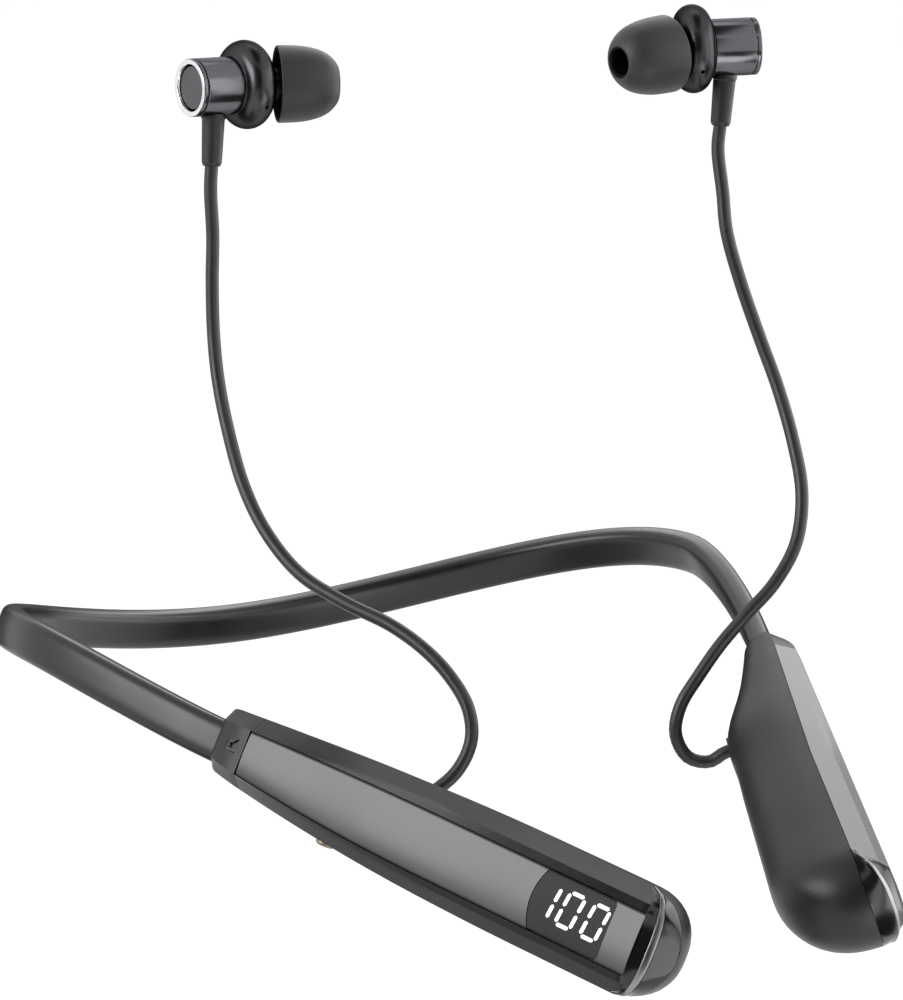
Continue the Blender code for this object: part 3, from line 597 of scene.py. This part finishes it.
def outline(s):
    # Upper half of the outer side, from the parting edge to the plate's edge
    o, h, p, m = faceOffset(s), halfHeight(s), parting(s) + pod["seam"], plateHalf(s) + pod["seam"]
    k = min(1, s / pod["stripLength"])
    drop, rise = pod["strip"]
    edge = (o - drop * k, m + rise * k * (h - m) / (pod["halfHeight"][1] - pod["plateHalf"]))
    return [(rounded(s, n, w), w) for n, w in ((p, h), edge, (o, m))]


def rounded(s, n, w):
    # Past the plate's end the corners of a section melt into one smooth arch
    share = min(1, max(0, s - pod["archStart"]) / pod["archLength"])
    p, power = parting(s) + pod["seam"], pod["archPower"]
    arch = p + (faceOffset(s) - p) * (1 - min(1, abs(w) / halfHeight(s)) ** power) ** (1 / power)
    return n + (arch - n) * share


def bothHalves(upper):
    return [*upper, *((n, -w) for n, w in reversed(upper))]


def domeCurve(s, count=33):
    # Inner cover's half round, from the upper parting edge to the lower one
    start, radius, power = pod["tipStart"], pod["tipRadius"], 2 / pod["domePower"]
    height = radius * quarterRound((s - start) / radius) if s > start else halfHeight(s)
    p, depth = parting(s) - pod["seam"], innerDepth(s)
    points = []
    for i in range(count):
        a = pi / 2 - pi * i / (count - 1)
        w = abs(sin(a)) ** power * height
        points.append((p - abs(cos(a)) ** power * (p + depth), w if a > 0 else -w))
    return points


def podRise(s):
    # Towards the collar a pod lies a little higher than the straight line of its axes
    height, length = pod["rise"]
    return height * (1 - min(1, s / length)) ** 2


def podPoint(axes, s, n, w):
    return axes @ Vector((s, n, w + podRise(s)))


# Band: one silicone moulding, in a nape piece and two arm pieces

band = {"corner": (62, -51, 15.5), "napeHandle": 32, "cornerHandles": (30, 9), "collarHandle": 11,
        "height": 6.6, "thickness": 4.2, "roundness": 3.6, "points": 48, "step": 1.6, "inCollar": 7,
        "lean": (8, 20), "flex": (62, 108), "samples": (160, 80), "wireSides": 12}


def bandFrames(side):
    collarPoint, tip = (Vector(pod[key]) for key in ("collarPoint", "tipPoint"))
    along = (tip - collarPoint).normalized()
    forward, corner = Vector((0, -1, 0)), Vector(band["corner"])
    before, after = band["cornerHandles"]
    nape = Vector((band["napeHandle"], 0, 0))
    many, few = band["samples"]
    shoulder = interpolate_bezier(Vector(), nape, corner - forward * before, corner, many)
    arm = interpolate_bezier(corner, corner + forward * after, collarPoint - along * band["collarHandle"],
                             collarPoint, few)
    line = [*shoulder, *arm[1:], collarPoint + along * band["inCollar"]]
    places, distances = resample([mirrored(point, side) for point in line], band["step"])
    frames = []
    for i, (place, distance) in enumerate(zip(places, distances)):
        tangent = (places[min(i + 1, len(places) - 1)] - places[max(i - 1, 0)]).normalized()
        if i == 0:
            tangent = Vector((side, 0, 0))
        low, high = band["lean"]
        lean = low + (high - low) * min(1, distance / (distances[-1] - band["inCollar"]))
        frames.append((place, *leantAcross(tangent, side, lean), distance))
    return frames


def alongBand(frames, section):
    return loftRings([[place + out * n + up * w for n, w in section] for place, out, up, _ in frames])


def bendPiece(piece, nodes):
    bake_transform(piece)
    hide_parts(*nodes)


def makeBand():
    halves = {name: bandFrames(side) for name, side in sides.items()}
    section = superEllipse(band["thickness"], band["height"], band["roundness"], band["points"])
    start, end = band["flex"]
    seam = min(i for i, spot in enumerate(halves["right"]) if spot[3] > start)
    nape = halves["right"][seam:0:-1] + halves["left"][:seam + 1]
    # The nape's right half runs the other way, so its frames keep the same outward side
    piece = finishPiece("napeBand", alongBand(nape, section), bandSilicone)
    placePiece(piece, "neckband", ["nape_band"])
    for name, frames in halves.items():
        piece = finishPiece(f"{name}ArmBand", alongBand(frames[seam:], section), bandSilicone)
        bendPiece(piece, [f"{name}_flex_band", f"{name}_arm_band"])
        for label, (node, height, diameter, material, slot) in innerWires.items():
            ring = superEllipse(diameter, diameter, 2, band["wireSides"])  # 2 is a circle
            core = alongBand(frames, [(n, w + height) for n, w in ring])
            piece = finishPiece(f"{name}{label}", core, material)
            bendPiece(piece, [node])
    print("band is made, seam at", round(halves["right"][seam][3], 1), "mm from the nape")


# Node, height in the band, diameter, material and slot
innerWires = {
    "MemoryWire": ("memory_wire", 1.1, 1.0, springSteel, "steel"),
    "LinkCable": ("link_cable", -1.0, 1.2, cableVinyl, "cable_jacket"),
}
makeBand()


# Collar: a satin sleeve round the end of the band, with a plain side letter cut into it

collar = {"ends": (2.0, 8.45), "rounding": 1.2, "shrink": 0.12, "bow": 0.4, "steps": 6, "sharpness": 20,
          "mouth": 0.25, "mouthDepths": (4.2, 0.15),
          "letterSize": 3.3, "letterWiden": 1.35, "letterPlace": (6.15, 0.25), "letterDepth": 0.5}


def collarBow(s):
    # The collar's face bows in towards the band
    start, end = collar["ends"]
    return 1 - collar["bow"] * ((end - s) / (end - start)) ** 2


def collarRing(axes, s, scale):
    upper = outline(s)
    face = bothHalves([*upper, (upper[-1][0], upper[-1][1] / 2)])
    whole = [*face, *domeCurve(s)[-2:0:-1]]
    return [podPoint(axes, s, n * scale * (collarBow(s) if n > 0 else 1), w * scale) for n, w in whole]


def makeCollar(name, side, axes):
    start, end = collar["ends"]
    steps, sharpness = collar["steps"], collar["sharpness"]
    mouth = superEllipse(band["thickness"] + collar["mouth"], band["height"] + collar["mouth"],
                         band["roundness"], band["points"])
    rings = [[axes @ Vector((start + depth, n, w)) for n, w in mouth] for depth in collar["mouthDepths"]]
    for k in range(steps + 1):
        a = pi / 2 * k / steps
        rings.append(collarRing(axes, start + collar["rounding"] * (1 - cos(a)),
                                1 - collar["shrink"] * (1 - sin(a))))
    straight = start + collar["rounding"]
    rings += [collarRing(axes, straight + (end - straight) * k / steps, 1) for k in range(1, steps + 1)]
    piece = finishPiece(f"{name}Collar", loftRings(rings), satinAbs, sharpness)
    cutWith(piece, letterSolid(name, side, axes), sharpness)
    placeOnArm(piece, name, "collar")


def letterSolid(name, side, axes):
    text = bpy.data.curves.new("letter", "FONT")
    text.body = name[0].upper()
    text.size = collar["letterSize"]
    text.align_x, text.align_y = "CENTER", "CENTER"
    text.extrude = collar["letterDepth"]
    flat = linkObject("letter", text)
    graph = bpy.context.evaluated_depsgraph_get()
    bm = bmesh.new()
    bm.from_mesh(flat.evaluated_get(graph).to_mesh())
    bpy.data.objects.remove(flat)
    mergeDoubles(bm)
    s, w = collar["letterPlace"]
    turn = Matrix(((0, -1, 0), (0, 0, 1), (-side, 0, 0))).to_4x4()
    turn.translation = (s, faceOffset(s) * collarBow(s), w + podRise(s))
    bm.transform(axes @ turn @ Matrix.Diagonal((collar["letterWiden"], 1, 1, 1)))
    return bm


# Outer shell: two facets, two dark strips and the pocket of the face plate

shell = {"stations": (8.5, 11, 14, 17.5, 21, 25, 29, 33.5, 38, 42.5, 47, 53, 59, 65, 71, 75, 77, 78, 78.6,
                      79.2, 79.7, 80.22, 80.28, 80.6, 80.9, 81.2, 81.5, 81.72),
         "pocket": 1.2, "pocketEdge": 0.02, "wall": 0.9, "sharpness": 9}
acrossFlat = (0.75, 0.5, 0.25)  # shares of the plate's half height that a row also passes


def shellRow(axes, s):
    upper = outline(s)
    m = upper[-1][1]
    depth = shell["pocket"] if s < pod["archStart"] else 0
    heights = [m - shell["pocketEdge"], *(m * share for share in acrossFlat)]
    floor = [(rounded(s, faceOffset(s), w) - depth, w) for w in heights]
    return [podPoint(axes, swept(s, w), n, w) for n, w in bothHalves([*subdivided(s, upper), *floor])]


def subdivided(s, upper):
    # Points along the strips and facets, so that they can follow the arch
    made = [upper[0]]
    for first, second in zip(upper, upper[1:]):
        for t in (0.25, 0.5, 0.75, 1):
            n, w = Vector(first).lerp(Vector(second), t)
            made.append((rounded(s, n, w), w))
    return made


def makeShell(name, axes):
    bm = sheetOf([shellRow(axes, s) for s in shell["stations"]])
    piece = finishShell(f"{name}OuterShell", bm, axes, shell["wall"], glossAbs, shell["sharpness"])
    placeOnArm(piece, name, "outer_shell")


def finishShell(name, bm, axes, wall, material, sharpness=30):
    # An open sheet is turned to face away from the pod's axis, and its wall grows inwards
    mergeDoubles(bm)
    middle = axes @ Vector((pod["middle"], 0, 0))
    along = (axes.to_3x3() @ Vector((1, 0, 0))).normalized()
    bm.normal_update()
    tally = 0
    for face in bm.faces:
        arm = face.calc_center_median() - middle
        tally += (arm - along * arm.dot(along)).dot(face.normal) * face.calc_area()
    if tally < 0:
        bmesh.ops.reverse_faces(bm, faces=bm.faces)
    bm.normal_update()
    bmesh.ops.solidify(bm, geom=bm.faces[:], thickness=wall)
    mergeDoubles(bm)
    return finishPiece(name, bm, material, sharpness)


# Face plate: a crowned inlay with rolled edges; on the right pod the window divides it

plate = {"crown": 0.24, "roll": 0.3, "wall": 0.9, "columns": 28, "rows": 40}
window = {"ends": (62.4, 75.4), "bow": 1.2, "corner": 1.1, "half": 4.55, "gap": 0.08, "sink": 0.06,
          "wall": 0.8}


def crownedPoint(axes, s, share, half, sink=0):
    # The plate's surface across its height, with its edges rolled over a quarter round
    roll = plate["roll"]
    beyond = max(0, abs(share) * half - (half - roll)) / roll
    n = faceOffset(s) + plate["crown"] * (1 - share ** 2) - roll * (1 - quarterRound(beyond)) - sink
    return podPoint(axes, s, n, share * half)


def windowEnds(share):
    start, end = window["ends"]
    beyond = max(0, abs(share) * window["half"] - window["half"] + window["corner"]) / window["corner"]
    return start + window["bow"] * share ** 2, end - window["corner"] * (1 - quarterRound(beyond))


def inlay(axes, ends, sink=0, half=None):
    # ends gives the first and last s at each share of the height
    columns, rows = plate["columns"], plate["rows"]
    shares = [sin(pi / 2 * (2 * i / columns - 1)) for i in range(columns + 1)]  # closer at the rolled edges
    points = []
    for k in range(rows + 1):
        row = []
        for share in shares:
            first, last = ends(share)
            s = first + (last - first) * k / rows
            row.append(crownedPoint(axes, s, share, half or plateHalf(s), sink))
        points.append(row)
    return sheetOf(points)


def makePlate(name, axes):
    first, last = pod["plateEnds"]
    if name == "left":
        parts = {"FacePlate": lambda share: (first, last)}
    else:
        gap = window["gap"]
        parts = {"FacePlate": lambda share: (first, windowEnds(share)[0] - gap),
                 "FacePlateEnd": lambda share: (windowEnds(share)[1] + gap, last)}
    for label, ends in parts.items():
        piece = finishShell(f"{name}{label}", inlay(axes, ends), axes, plate["wall"], faceLacquer)
        placeOnArm(piece, name, "face_plate")


def makeWindow(axes):
    bm = inlay(axes, windowEnds, window["sink"], window["half"])
    piece = finishShell("displayWindow", bm, axes, window["wall"], smokedAcrylic)
    placePiece(piece, "right_arm", ["display_window"])


# Charge display: three lit seven-segment digits, here the plain number 100

digits = {"text": "100", "starts": (63.7, 67.75, 72.05), "width": 2.5, "height": 5.5, "centre": 0.4,
          "slant": 0.13, "bar": 0.56, "point": 0.42, "gap": 0.2, "lift": 0.03, "sunk": 0.06}
segmentsOf = {"0": "abcdef", "1": "bc"}


def makeDigits(axes):
    bm = bmesh.new()
    width, half, bar = digits["width"], digits["height"] / 2, digits["bar"]
    reach = half - bar / 2
    # Each segment's two ends, in the digit's own width and height
    ends = {"a": ((0, reach), (width, reach)), "d": ((0, -reach), (width, -reach)),
            "b": ((width, reach), (width, 0)), "c": ((width, 0), (width, -reach)),
            "e": ((0, 0), (0, -reach)), "f": ((0, reach), (0, 0))}
    for start, digit in zip(digits["starts"], digits["text"]):
        for segment in segmentsOf[digit]:
            first, second = (Vector(point) for point in ends[segment])
            addSegment(bm, axes, start, first, second)
    piece = finishPiece("litDigits", bm, ledSegments)
    placePiece(piece, "right_arm", ())


def addSegment(bm, axes, start, first, second):
    along = (second - first).normalized()
    across = Vector((-along.y, along.x)) * digits["bar"] / 2
    gap = digits["gap"]
    made = bmesh.ops.create_circle(bm, segments=6, radius=1, cap_ends=True)["verts"]
    tip, neck = gap, gap + digits["bar"] * digits["point"]
    spots = [first + along * tip, first + along * neck - across, second - along * neck - across,
             second - along * tip, second - along * neck + across, first + along * neck + across]
    for vert, spot in zip(made, spots):
        w = digits["centre"] + spot.y
        s = start + spot.x + digits["slant"] * spot.y
        share = w / window["half"]
        point = crownedPoint(Matrix.Identity(4), s, share, window["half"], window["sink"])
        vert.co = axes @ (point - Vector((0, digits["sunk"], 0)))
    faces = list({face for vert in made for face in vert.link_faces})
    pushed = bmesh.ops.extrude_face_region(bm, geom=faces, use_keep_orig=True)
    rise = axes.to_3x3() @ Vector((0, digits["sunk"] + digits["lift"], 0))
    bmesh.ops.translate(bm, vec=rise, verts=[v for v in pushed["geom"] if isinstance(v, bmesh.types.BMVert)])


# Trim ring and end cap at the tip

trim = {"stations": ((81.78, -0.35), (81.79, 0.0), (81.88, 0.06), (82.25, 0.08), (82.62, 0.06), (82.72, 0.0),
                     (82.73, -0.35)), "wall": 0.5}
cap = {"station": 82.82, "rows": 12, "wall": 0.4, "power": 1.12}


def tipRow(s, lift=0):
    upper = outline(s)
    m = upper[-1][1]
    top = [(rounded(s, faceOffset(s), m * share), m * share) for share in acrossFlat]
    middle = Vector((parting(s), 0))
    made = []
    for n, w in bothHalves([*subdivided(s, upper), *top]):
        point = Vector((n, w))
        point += (point - middle).normalized() * lift
        made.append(Vector((swept(s, w), point.x, point.y)))
    return made


def makeTip(name, axes):
    rows = [[axes @ point for point in tipRow(s, lift)] for s, lift in trim["stations"]]
    piece = finishShell(f"{name}TrimRing", sheetOf(rows), axes, trim["wall"], satinTrim, 40)
    placeOnArm(piece, name, "trim_ring")

    s = cap["station"]
    start = tipRow(s)
    p, radius = parting(s) + pod["seam"], pod["tipRadius"]
    first = tipAngle(s)
    rows = []
    power = cap["power"]
    for k in range(cap["rows"] + 1):
        share = sin(pi / 2 * k / cap["rows"])
        row = []
        for i, point in enumerate(start):
            angle = first + (pi - 2 * first) * i / (len(start) - 1)
            rim = Vector((pod["tipStart"] + radius * sin(angle), p, radius * cos(angle)))
            spot = point.lerp(rim, share)
            spot.y = p + (point.y - p) * (1 - share ** power) ** (1 / power)
            row.append(axes @ spot)
        rows.append(row)
    piece = finishShell(f"{name}EndCap", sheetOf(rows), axes, cap["wall"], glossAbs, 50)
    placeOnArm(piece, name, "end_cap")


# Inner cover: the satin half shell that lies on the neck side

cover = {"start": 8.5, "step": 2.4, "tipSteps": 18, "wall": 1.1, "points": 49}


def coverStations():
    start, dome = cover["start"], pod["domeStart"]
    count = round((dome - start) / cover["step"])
    straight = [start + (dome - start) * i / count for i in range(count)]
    reach = pod["tipStart"] + pod["tipRadius"] - dome
    steps = cover["tipSteps"]
    return straight + [dome + reach * sin(pi / 2 * i / steps) for i in range(steps + 1)]


def makeCover(name, axes):
    rows = [[podPoint(axes, s, n, w) for n, w in domeCurve(s, cover["points"])] for s in coverStations()]
    piece = finishShell(f"{name}InnerCover", sheetOf(rows), axes, cover["wall"], satinAbs, 40)
    placeOnArm(piece, name, "inner_cover")
    return piece


# Cord grommet, buttons and the charging socket

grommet = {"profile": ((1.25, 0.05, 0.15), (2.1, 0.05, 0.2), (2.1, -2.1, 0), (1.25, -2.1, 0)),
           "hole": (2.15, -4, 3)}
# Node, place along s and n, radius, how far it stands proud, material and slot
keys = {
    "multifunctionButton": ("multifunction_button", 24, -0.6, 1.5, 1.0, brassKey, "brass_button"),
    "volumeDownButton": ("volume_down_button", 35, -3.0, 1.9, 0.35, satinAbs, "satin_plastic"),
    "volumeUpButton": ("volume_up_button", 44, -3.0, 1.9, 0.35, satinAbs, "satin_plastic"),
}
keyForm = {"crown": (0.05, 0.03, -0.1), "rounding": 0.4, "depth": 3.4, "gap": 0.15, "hole": (-6, 2)}
socket = {"s": 34, "n": -2.1, "size": (9.0, 3.3, 7.0), "wall": 0.32, "floor": 0.6, "sunk": 0.2, "gap": 0.3,
          "hole": (-8, 4), "tongue": (6.7, 0.7, 5.4), "tongueFoot": 0.5, "tongueRounding": 0.15}


def grommetAxes(axes):
    s = pod["exit"]
    return turnedFrame(axes, pi / 2, "X", podPoint(axes, s, -innerDepth(s), 0))


def undersideAxes(axes, s, n, proud):
    p, depth, power = parting(s), innerDepth(s), pod["domePower"]
    share = min(1, (p - n) / (p + depth))
    w = -halfHeight(s) * (1 - share ** power) ** (1 / power) - proud
    return turnedFrame(axes, pi, "X", podPoint(axes, s, n, w))


def makeGrommet(name, axes, coverPiece):
    place = grommetAxes(axes)
    cutWith(coverPiece, peg(*grommet["hole"], place, 48))
    piece = finishPiece(f"{name}CordGrommet", turned(grommet["profile"], place, 64), reliefRubber)
    placeOnArm(piece, name, "cord_grommet")


def makeKeys(axes, coverPiece):
    middle, shoulder, rim = keyForm["crown"]
    depth = keyForm["depth"]
    for name, (node, s, n, radius, proud, material, slot) in keys.items():
        place = undersideAxes(axes, s, n, proud)
        cutWith(coverPiece, peg(radius + keyForm["gap"], *keyForm["hole"], place, 64))
        profile = ((0, middle, 0), (radius / 2, shoulder, 0), (radius, rim, keyForm["rounding"]),
                   (radius, -depth, 0), (0, -depth, 0))
        piece = finishPiece(name, turned(profile, place, 64), material)
        placePiece(piece, node, [node])


def stadium(axes, length, thickness, low, high, steps=12):
    # A slot with round ends, as a prism along the frame's Z
    radius = thickness / 2
    reach = length / 2 - radius
    ring = []
    for end in (1, -1):
        for i in range(steps + 1):
            a = pi * i / steps - pi / 2
            ring.append((end * (reach + radius * cos(a)), end * radius * sin(a)))
    return loftRings([[axes @ Vector((x, y, z)) for x, y in ring] for z in (low, high)])


def makeSocket(axes, coverPiece):
    length, thickness, depth = socket["size"]
    gap, inset = socket["gap"], 2 * socket["wall"]
    place = undersideAxes(axes, socket["s"], socket["n"], -socket["sunk"])
    cutWith(coverPiece, stadium(place, length + gap, thickness + gap, *socket["hole"]))
    piece = finishPiece("usbSocket", stadium(place, length, thickness, -depth, 0), springSteel)
    cutWith(piece, stadium(place, length - inset, thickness - inset, socket["floor"] - depth, 1))
    placePiece(piece, "left_arm", ["usb_socket"])
    wide, thick, tall = socket["tongue"]
    foot = socket["tongueFoot"] - depth
    low, high = (-wide / 2, -thick / 2, foot), (wide / 2, thick / 2, foot + tall)
    tongue = finishPiece("usbTongue", block(low, high, place, socket["tongueRounding"]), cableVinyl)
    placePiece(tongue, "left_arm", ())


for podName, podSide in sides.items():
    podAxes = podFrame(podSide)
    makeCollar(podName, podSide, podAxes)
    makeShell(podName, podAxes)
    makePlate(podName, podAxes)
    makeTip(podName, podAxes)
    podCover = makeCover(podName, podAxes)
    makeGrommet(podName, podAxes, podCover)
    if podName == "right":
        makeWindow(podAxes)
        makeDigits(podAxes)
        makeKeys(podAxes, podCover)
    else:
        makeSocket(podAxes, podCover)
    print(podName, "pod is made")


# Earbuds: turned pieces on an axis from the chrome ring, u = 0, to the front of the ear tip

buds = {
    "right": {"place": (-33.7, -51.6, 101.0), "yaw": 5, "rise": -0.3, "lean": 3.2, "droop": 0},
    "left": {"place": (49.3, -86.1, 106.5), "yaw": 161, "rise": -1.5, "lean": -6, "droop": 4},
}
budSharpness, budSteps = 35, 128
rimSlope = 0.7  # how far a face of the ring leans outwards before it counts as its rim, which takes a painted shade
# Node, slot, material and the (radius, u, fillet) corners round a closed profile
budProfiles = {
    "BudRing": ("bud_ring", "chrome", chromePlate, (
        (3.6, 0.35, 0.15), (3.75, 0.0, 0.15), (4.42, 0.0, 0.2), (4.54, 0.22, 0.1), (4.54, 0.7, 0.05),
        (3.6, 0.7, 0))),
    "BudDisc": ("bud_disc", "gunmetal", discMetal, (
        (0, 0.4, 0), (3.25, 0.4, 0.1), (3.36, 0.55, 0), (3.36, 1.1, 0), (0, 1.1, 0))),
    "BudBarrel": ("bud_barrel", "gunmetal", gunmetal, (
        (3.9, 0.74, 0), (4.25, 0.74, 0), (4.25, 0.98, 0), (4.55, 0.98, 0.1), (4.55, 7.45, 0.05),
        (3.9, 7.45, 0))),
}
# The housing swells round its driver, and its nozzle is canted forwards from the middle of that bulge
housing = {"back": ((3.6, 7.7, 0), (4.5, 7.55, 0.05), (4.62, 7.72, 0.05)), "centre": (4.6, 10.3),
           "radii": (2.42, 2.52), "reach": 80, "points": 33, "front": ((3.4, 13.1, 0.3), (0, 13.3, 0)),
           "hollow": ((0, 12.1, 0), (4.4, 11.8, 0), (5.2, 11.2, 0), (5.2, 9.3, 0), (3.6, 8.6, 0)),
           "cant": 24, "bore": (1.8, 0.9, 10),
           "nozzle": ((0, 1.8, 0), (2.6, 1.8, 0), (2.6, 8.2, 0.1), (2.9, 8.5, 0.15), (2.9, 9.1, 0.15),
                      (2.6, 9.4, 0.1), (0, 9.4, 0))}
vent = {"angle": -64, "radius": 0.32, "depth": 0.8}
earTip = {"outline": (
    (2.05, 14.45, 0.25), (2.5, 14.8, 0.3), (3.3, 14.45, 0.6), (4.4, 13.5, 1.1), (5.3, 12.0, 1.2),
    (5.85, 9.9, 1.3), (6.08, 7.9, 1.3), (6.12, 5.0, 0.25), (5.65, 4.95, 0.2), (5.45, 8.0, 1.0),
    (5.0, 10.1, 1.0), (4.3, 11.5, 0.6), (3.9, 11.3, 0.3), (3.9, 7.1, 0.2), (3.2, 7.1, 0.2),
    (3.2, 9.7, 0), (2.05, 10.3, 0.3)), "sleeve": (4.35, 11.6)}
relief = {"u": 4.6, "end": 12.5, "hole": (2.0, 2, 12), "outline": (
    (0, 4.2, 0), (1.95, 4.2, 0), (1.95, 5.0, 0.15), (1.8, 5.2, 0.1), (1.6, 11.9, 0.2), (1.35, 12.5, 0.15),
    (0, 12.5, 0))}


def budAxes(name):
    bud = buds[name]
    yaw, rise = radians(bud["yaw"]), radians(bud["rise"])
    axis = Vector((cos(rise) * cos(yaw), cos(rise) * sin(yaw), sin(rise)))
    down = (axis * axis.z - Vector((0, 0, 1))).normalized()
    axes = Matrix((down, axis.cross(down), axis)).transposed().to_4x4()
    axes.translation = bud["place"]
    return axes


def reliefAxes(name):
    axes, lean = budAxes(name), radians(buds[name]["lean"])
    return turnedFrame(axes, pi / 2 + lean, "Y", axes @ Vector((0, 0, relief["u"])))


def nozzleAxes(name):
    cant = Matrix.Rotation(radians(-sides[name] * housing["cant"]), 4, "X")
    droop = Matrix.Rotation(radians(buds[name]["droop"]), 4, "Y")
    return budAxes(name) @ Matrix.Translation((0, 0, housing["centre"][1])) @ cant @ droop


def makeHousing(name):
    axes = budAxes(name)
    radius, u = housing["centre"]
    wide, deep = housing["radii"]
    steps = housing["points"] - 1
    angles = [radians(housing["reach"] * (2 * i / steps - 1)) for i in range(steps + 1)]
    bulge = [(radius + wide * cos(a), u + deep * sin(a), 0) for a in angles]
    whole = [*housing["back"], *bulge, *housing["front"], *housing["hollow"]]
    piece = finishPiece(f"{name}BudHousing", turned(whole, axes, budSteps), blackNickel, budSharpness)
    cutWith(piece, turned(housing["nozzle"], nozzleAxes(name), 96), budSharpness, "UNION")
    cutWith(piece, peg(*housing["bore"], nozzleAxes(name), 64), budSharpness)
    spin = Matrix.Rotation(radians(-sides[name] * vent["angle"]), 4, "Z") @ Matrix.Rotation(pi / 2, 4, "Y")
    place = axes @ Matrix.Translation((0, 0, u)) @ spin
    edge = radius + wide
    cutWith(piece, peg(vent["radius"], edge - vent["depth"], edge + 1, place, 24), budSharpness)
    placeOnArm(piece, name, "bud_housing")


def paintWhere(piece, axes, material, chosen):
    # Faces chosen by their place and normal on the turning axis take a second material, which here paints
    # shade: near black in the ear tip's insides and dark gunmetal on the ring's outer rim
    piece.data.materials.append(material)
    back = axes.inverted()
    for face in piece.data.polygons:
        if chosen(back @ (face.center / mm), back.to_3x3() @ face.normal):
            face.material_index = 1


def shadedTipInside(spot, normal):
    radius, front = earTip["sleeve"]
    return spot.xy.dot(normal.xy) < 0 or spot.xy.length < radius and spot.z < front


def shadedRingRim(spot, normal):
    return spot.xy.dot(normal.xy) > rimSlope * spot.xy.length


def makeBud(name):
    axes = budAxes(name)
    for label, (node, slot, material, corners) in budProfiles.items():
        piece = finishPiece(f"{name}{label}", turned(corners, axes, budSteps), material, budSharpness)
        if label == "BudBarrel":
            cutWith(piece, peg(*relief["hole"], reliefAxes(name), 48), budSharpness)
        if label == "BudRing":
            # The ring's outer rim takes dark gunmetal: a painted shade along the chrome's edge
            paintWhere(piece, axes, gunmetal, shadedRingRim)
        placeOnArm(piece, name, node)
    makeHousing(name)
    axes = nozzleAxes(name)
    piece = finishPiece(f"{name}EarTip", turned(earTip["outline"], axes, budSteps), tipSilicone, 50)
    # The ear tip's insides take the near black painted shade
    paintWhere(piece, axes, tipPaintedShade, shadedTipInside)
    placePiece(piece, f"{name}_tip", [f"{name}_ear_tip"])
    bm = turned(relief["outline"], reliefAxes(name), 64)
    piece = finishPiece(f"{name}StrainRelief", bm, reliefRubber, 40)
    placeOnArm(piece, name, "strain_relief")
    print(name, "earbud is made")


for budName in sides:
    makeBud(budName)


# Cords: the routes of the solids, from the strain relief down to the pod

cord = {"diameter": 2.1, "step": 1.0, "straight": 4, "lead": 1.0, "tuck": 0.6, "samples": 12}
cordRoutes = {
    "right": ((-30, -51.6, 77.5), (-30.4, -52, 70.5), (-30.8, -53, 62.5), (-31.2, -55.3, 55),
              (-31.4, -59, 47.5), (-31.4, -64, 39.8), (-30.7, -70.3, 33.3), (-28.5, -77.3, 27.8),
              (-24.8, -84.7, 24.4), (-20.5, -92, 21.7), (-17.6, -98, 18.5), (-15.7, -102.5, 14.8),
              (-14.8, -105.8, 10.8), (-15.3, -107.4, 6.3), (-17.8, -107.5, 2), (-21.6, -106.2, -1.3),
              (-26, -106.3, -2.8)),
    "left": ((43.8, -85.6, 83.5), (43.8, -87, 77), (45, -89.5, 69), (46.5, -92.7, 60.8), (47.5, -96.7, 53),
             (47.6, -101, 45), (46.8, -104.7, 37.5), (44.4, -106.8, 30.3), (40.3, -107, 24.3),
             (35.7, -106.2, 19.7), (31.4, -105.2, 15), (27.8, -104.5, 10.2), (24.9, -104, 5.8),
             (23.8, -104.2, 1.4), (25.4, -105.1, -2.4), (28.3, -106.8, -3.3)),
}


def smoothRoute(points, step):
    fine = []
    ends = [2 * points[0] - points[1], *points, 2 * points[-1] - points[-2]]
    for before, start, end, after in zip(ends, ends[1:], ends[2:], ends[3:]):
        first, second = start + (end - before) / 6, end - (after - start) / 6
        fine += interpolate_bezier(start, first, second, end, cord["samples"])[:-1]
    return resample([*fine, points[-1]], step)[0]


def makeCord(name, side):
    top = reliefAxes(name)
    bottom = grommetAxes(podFrame(side))
    start = [top @ Vector((0, 0, relief["end"] + step)) for step in (-cord["tuck"], cord["straight"])]
    end = [bottom @ Vector((0, 0, step)) for step in (cord["lead"], -cord["tuck"])]
    route = [*start, *(Vector(point) for point in cordRoutes[name]), *end]
    points = smoothRoute(route, cord["step"])
    curve = bpy.data.curves.new(f"{name}Cord", "CURVE")
    curve.dimensions = "3D"
    curve.bevel_depth = cord["diameter"] / 2 * mm
    curve.bevel_resolution = 6
    curve.use_fill_caps = True
    line = curve.splines.new("POLY")
    line.points.add(len(points) - 1)
    for spot, place in zip(line.points, points):
        spot.co = (*(place * mm), 1)
    line.use_smooth = True
    curve.materials.append(cordJacket)
    piece = linkObject(f"{name}Cord", curve)
    placeOnArm(piece, name, "cord")


for cordName, cordSide in sides.items():
    makeCord(cordName, cordSide)


# The pieces inside keep their solids and get their own finishes

insideFinishes = {
    "display_module": ledPanel, "main_board": boardMask, "microphone": magnetNickel, "battery": cellFoil,
    "power_board": boardMask, "bud_magnet": magnetNickel, "bud_driver": magnetNickel,
    "nozzle_mesh": steelGauze,
}
for node, solid in frame["nodes"].items():
    if solid.hide_render:
        continue
    for ending, material in insideFinishes.items():
        if node.endswith(ending):
            solid.data.materials.clear()
            solid.data.materials.append(material)
            print("inside:", node, "is", material.name)
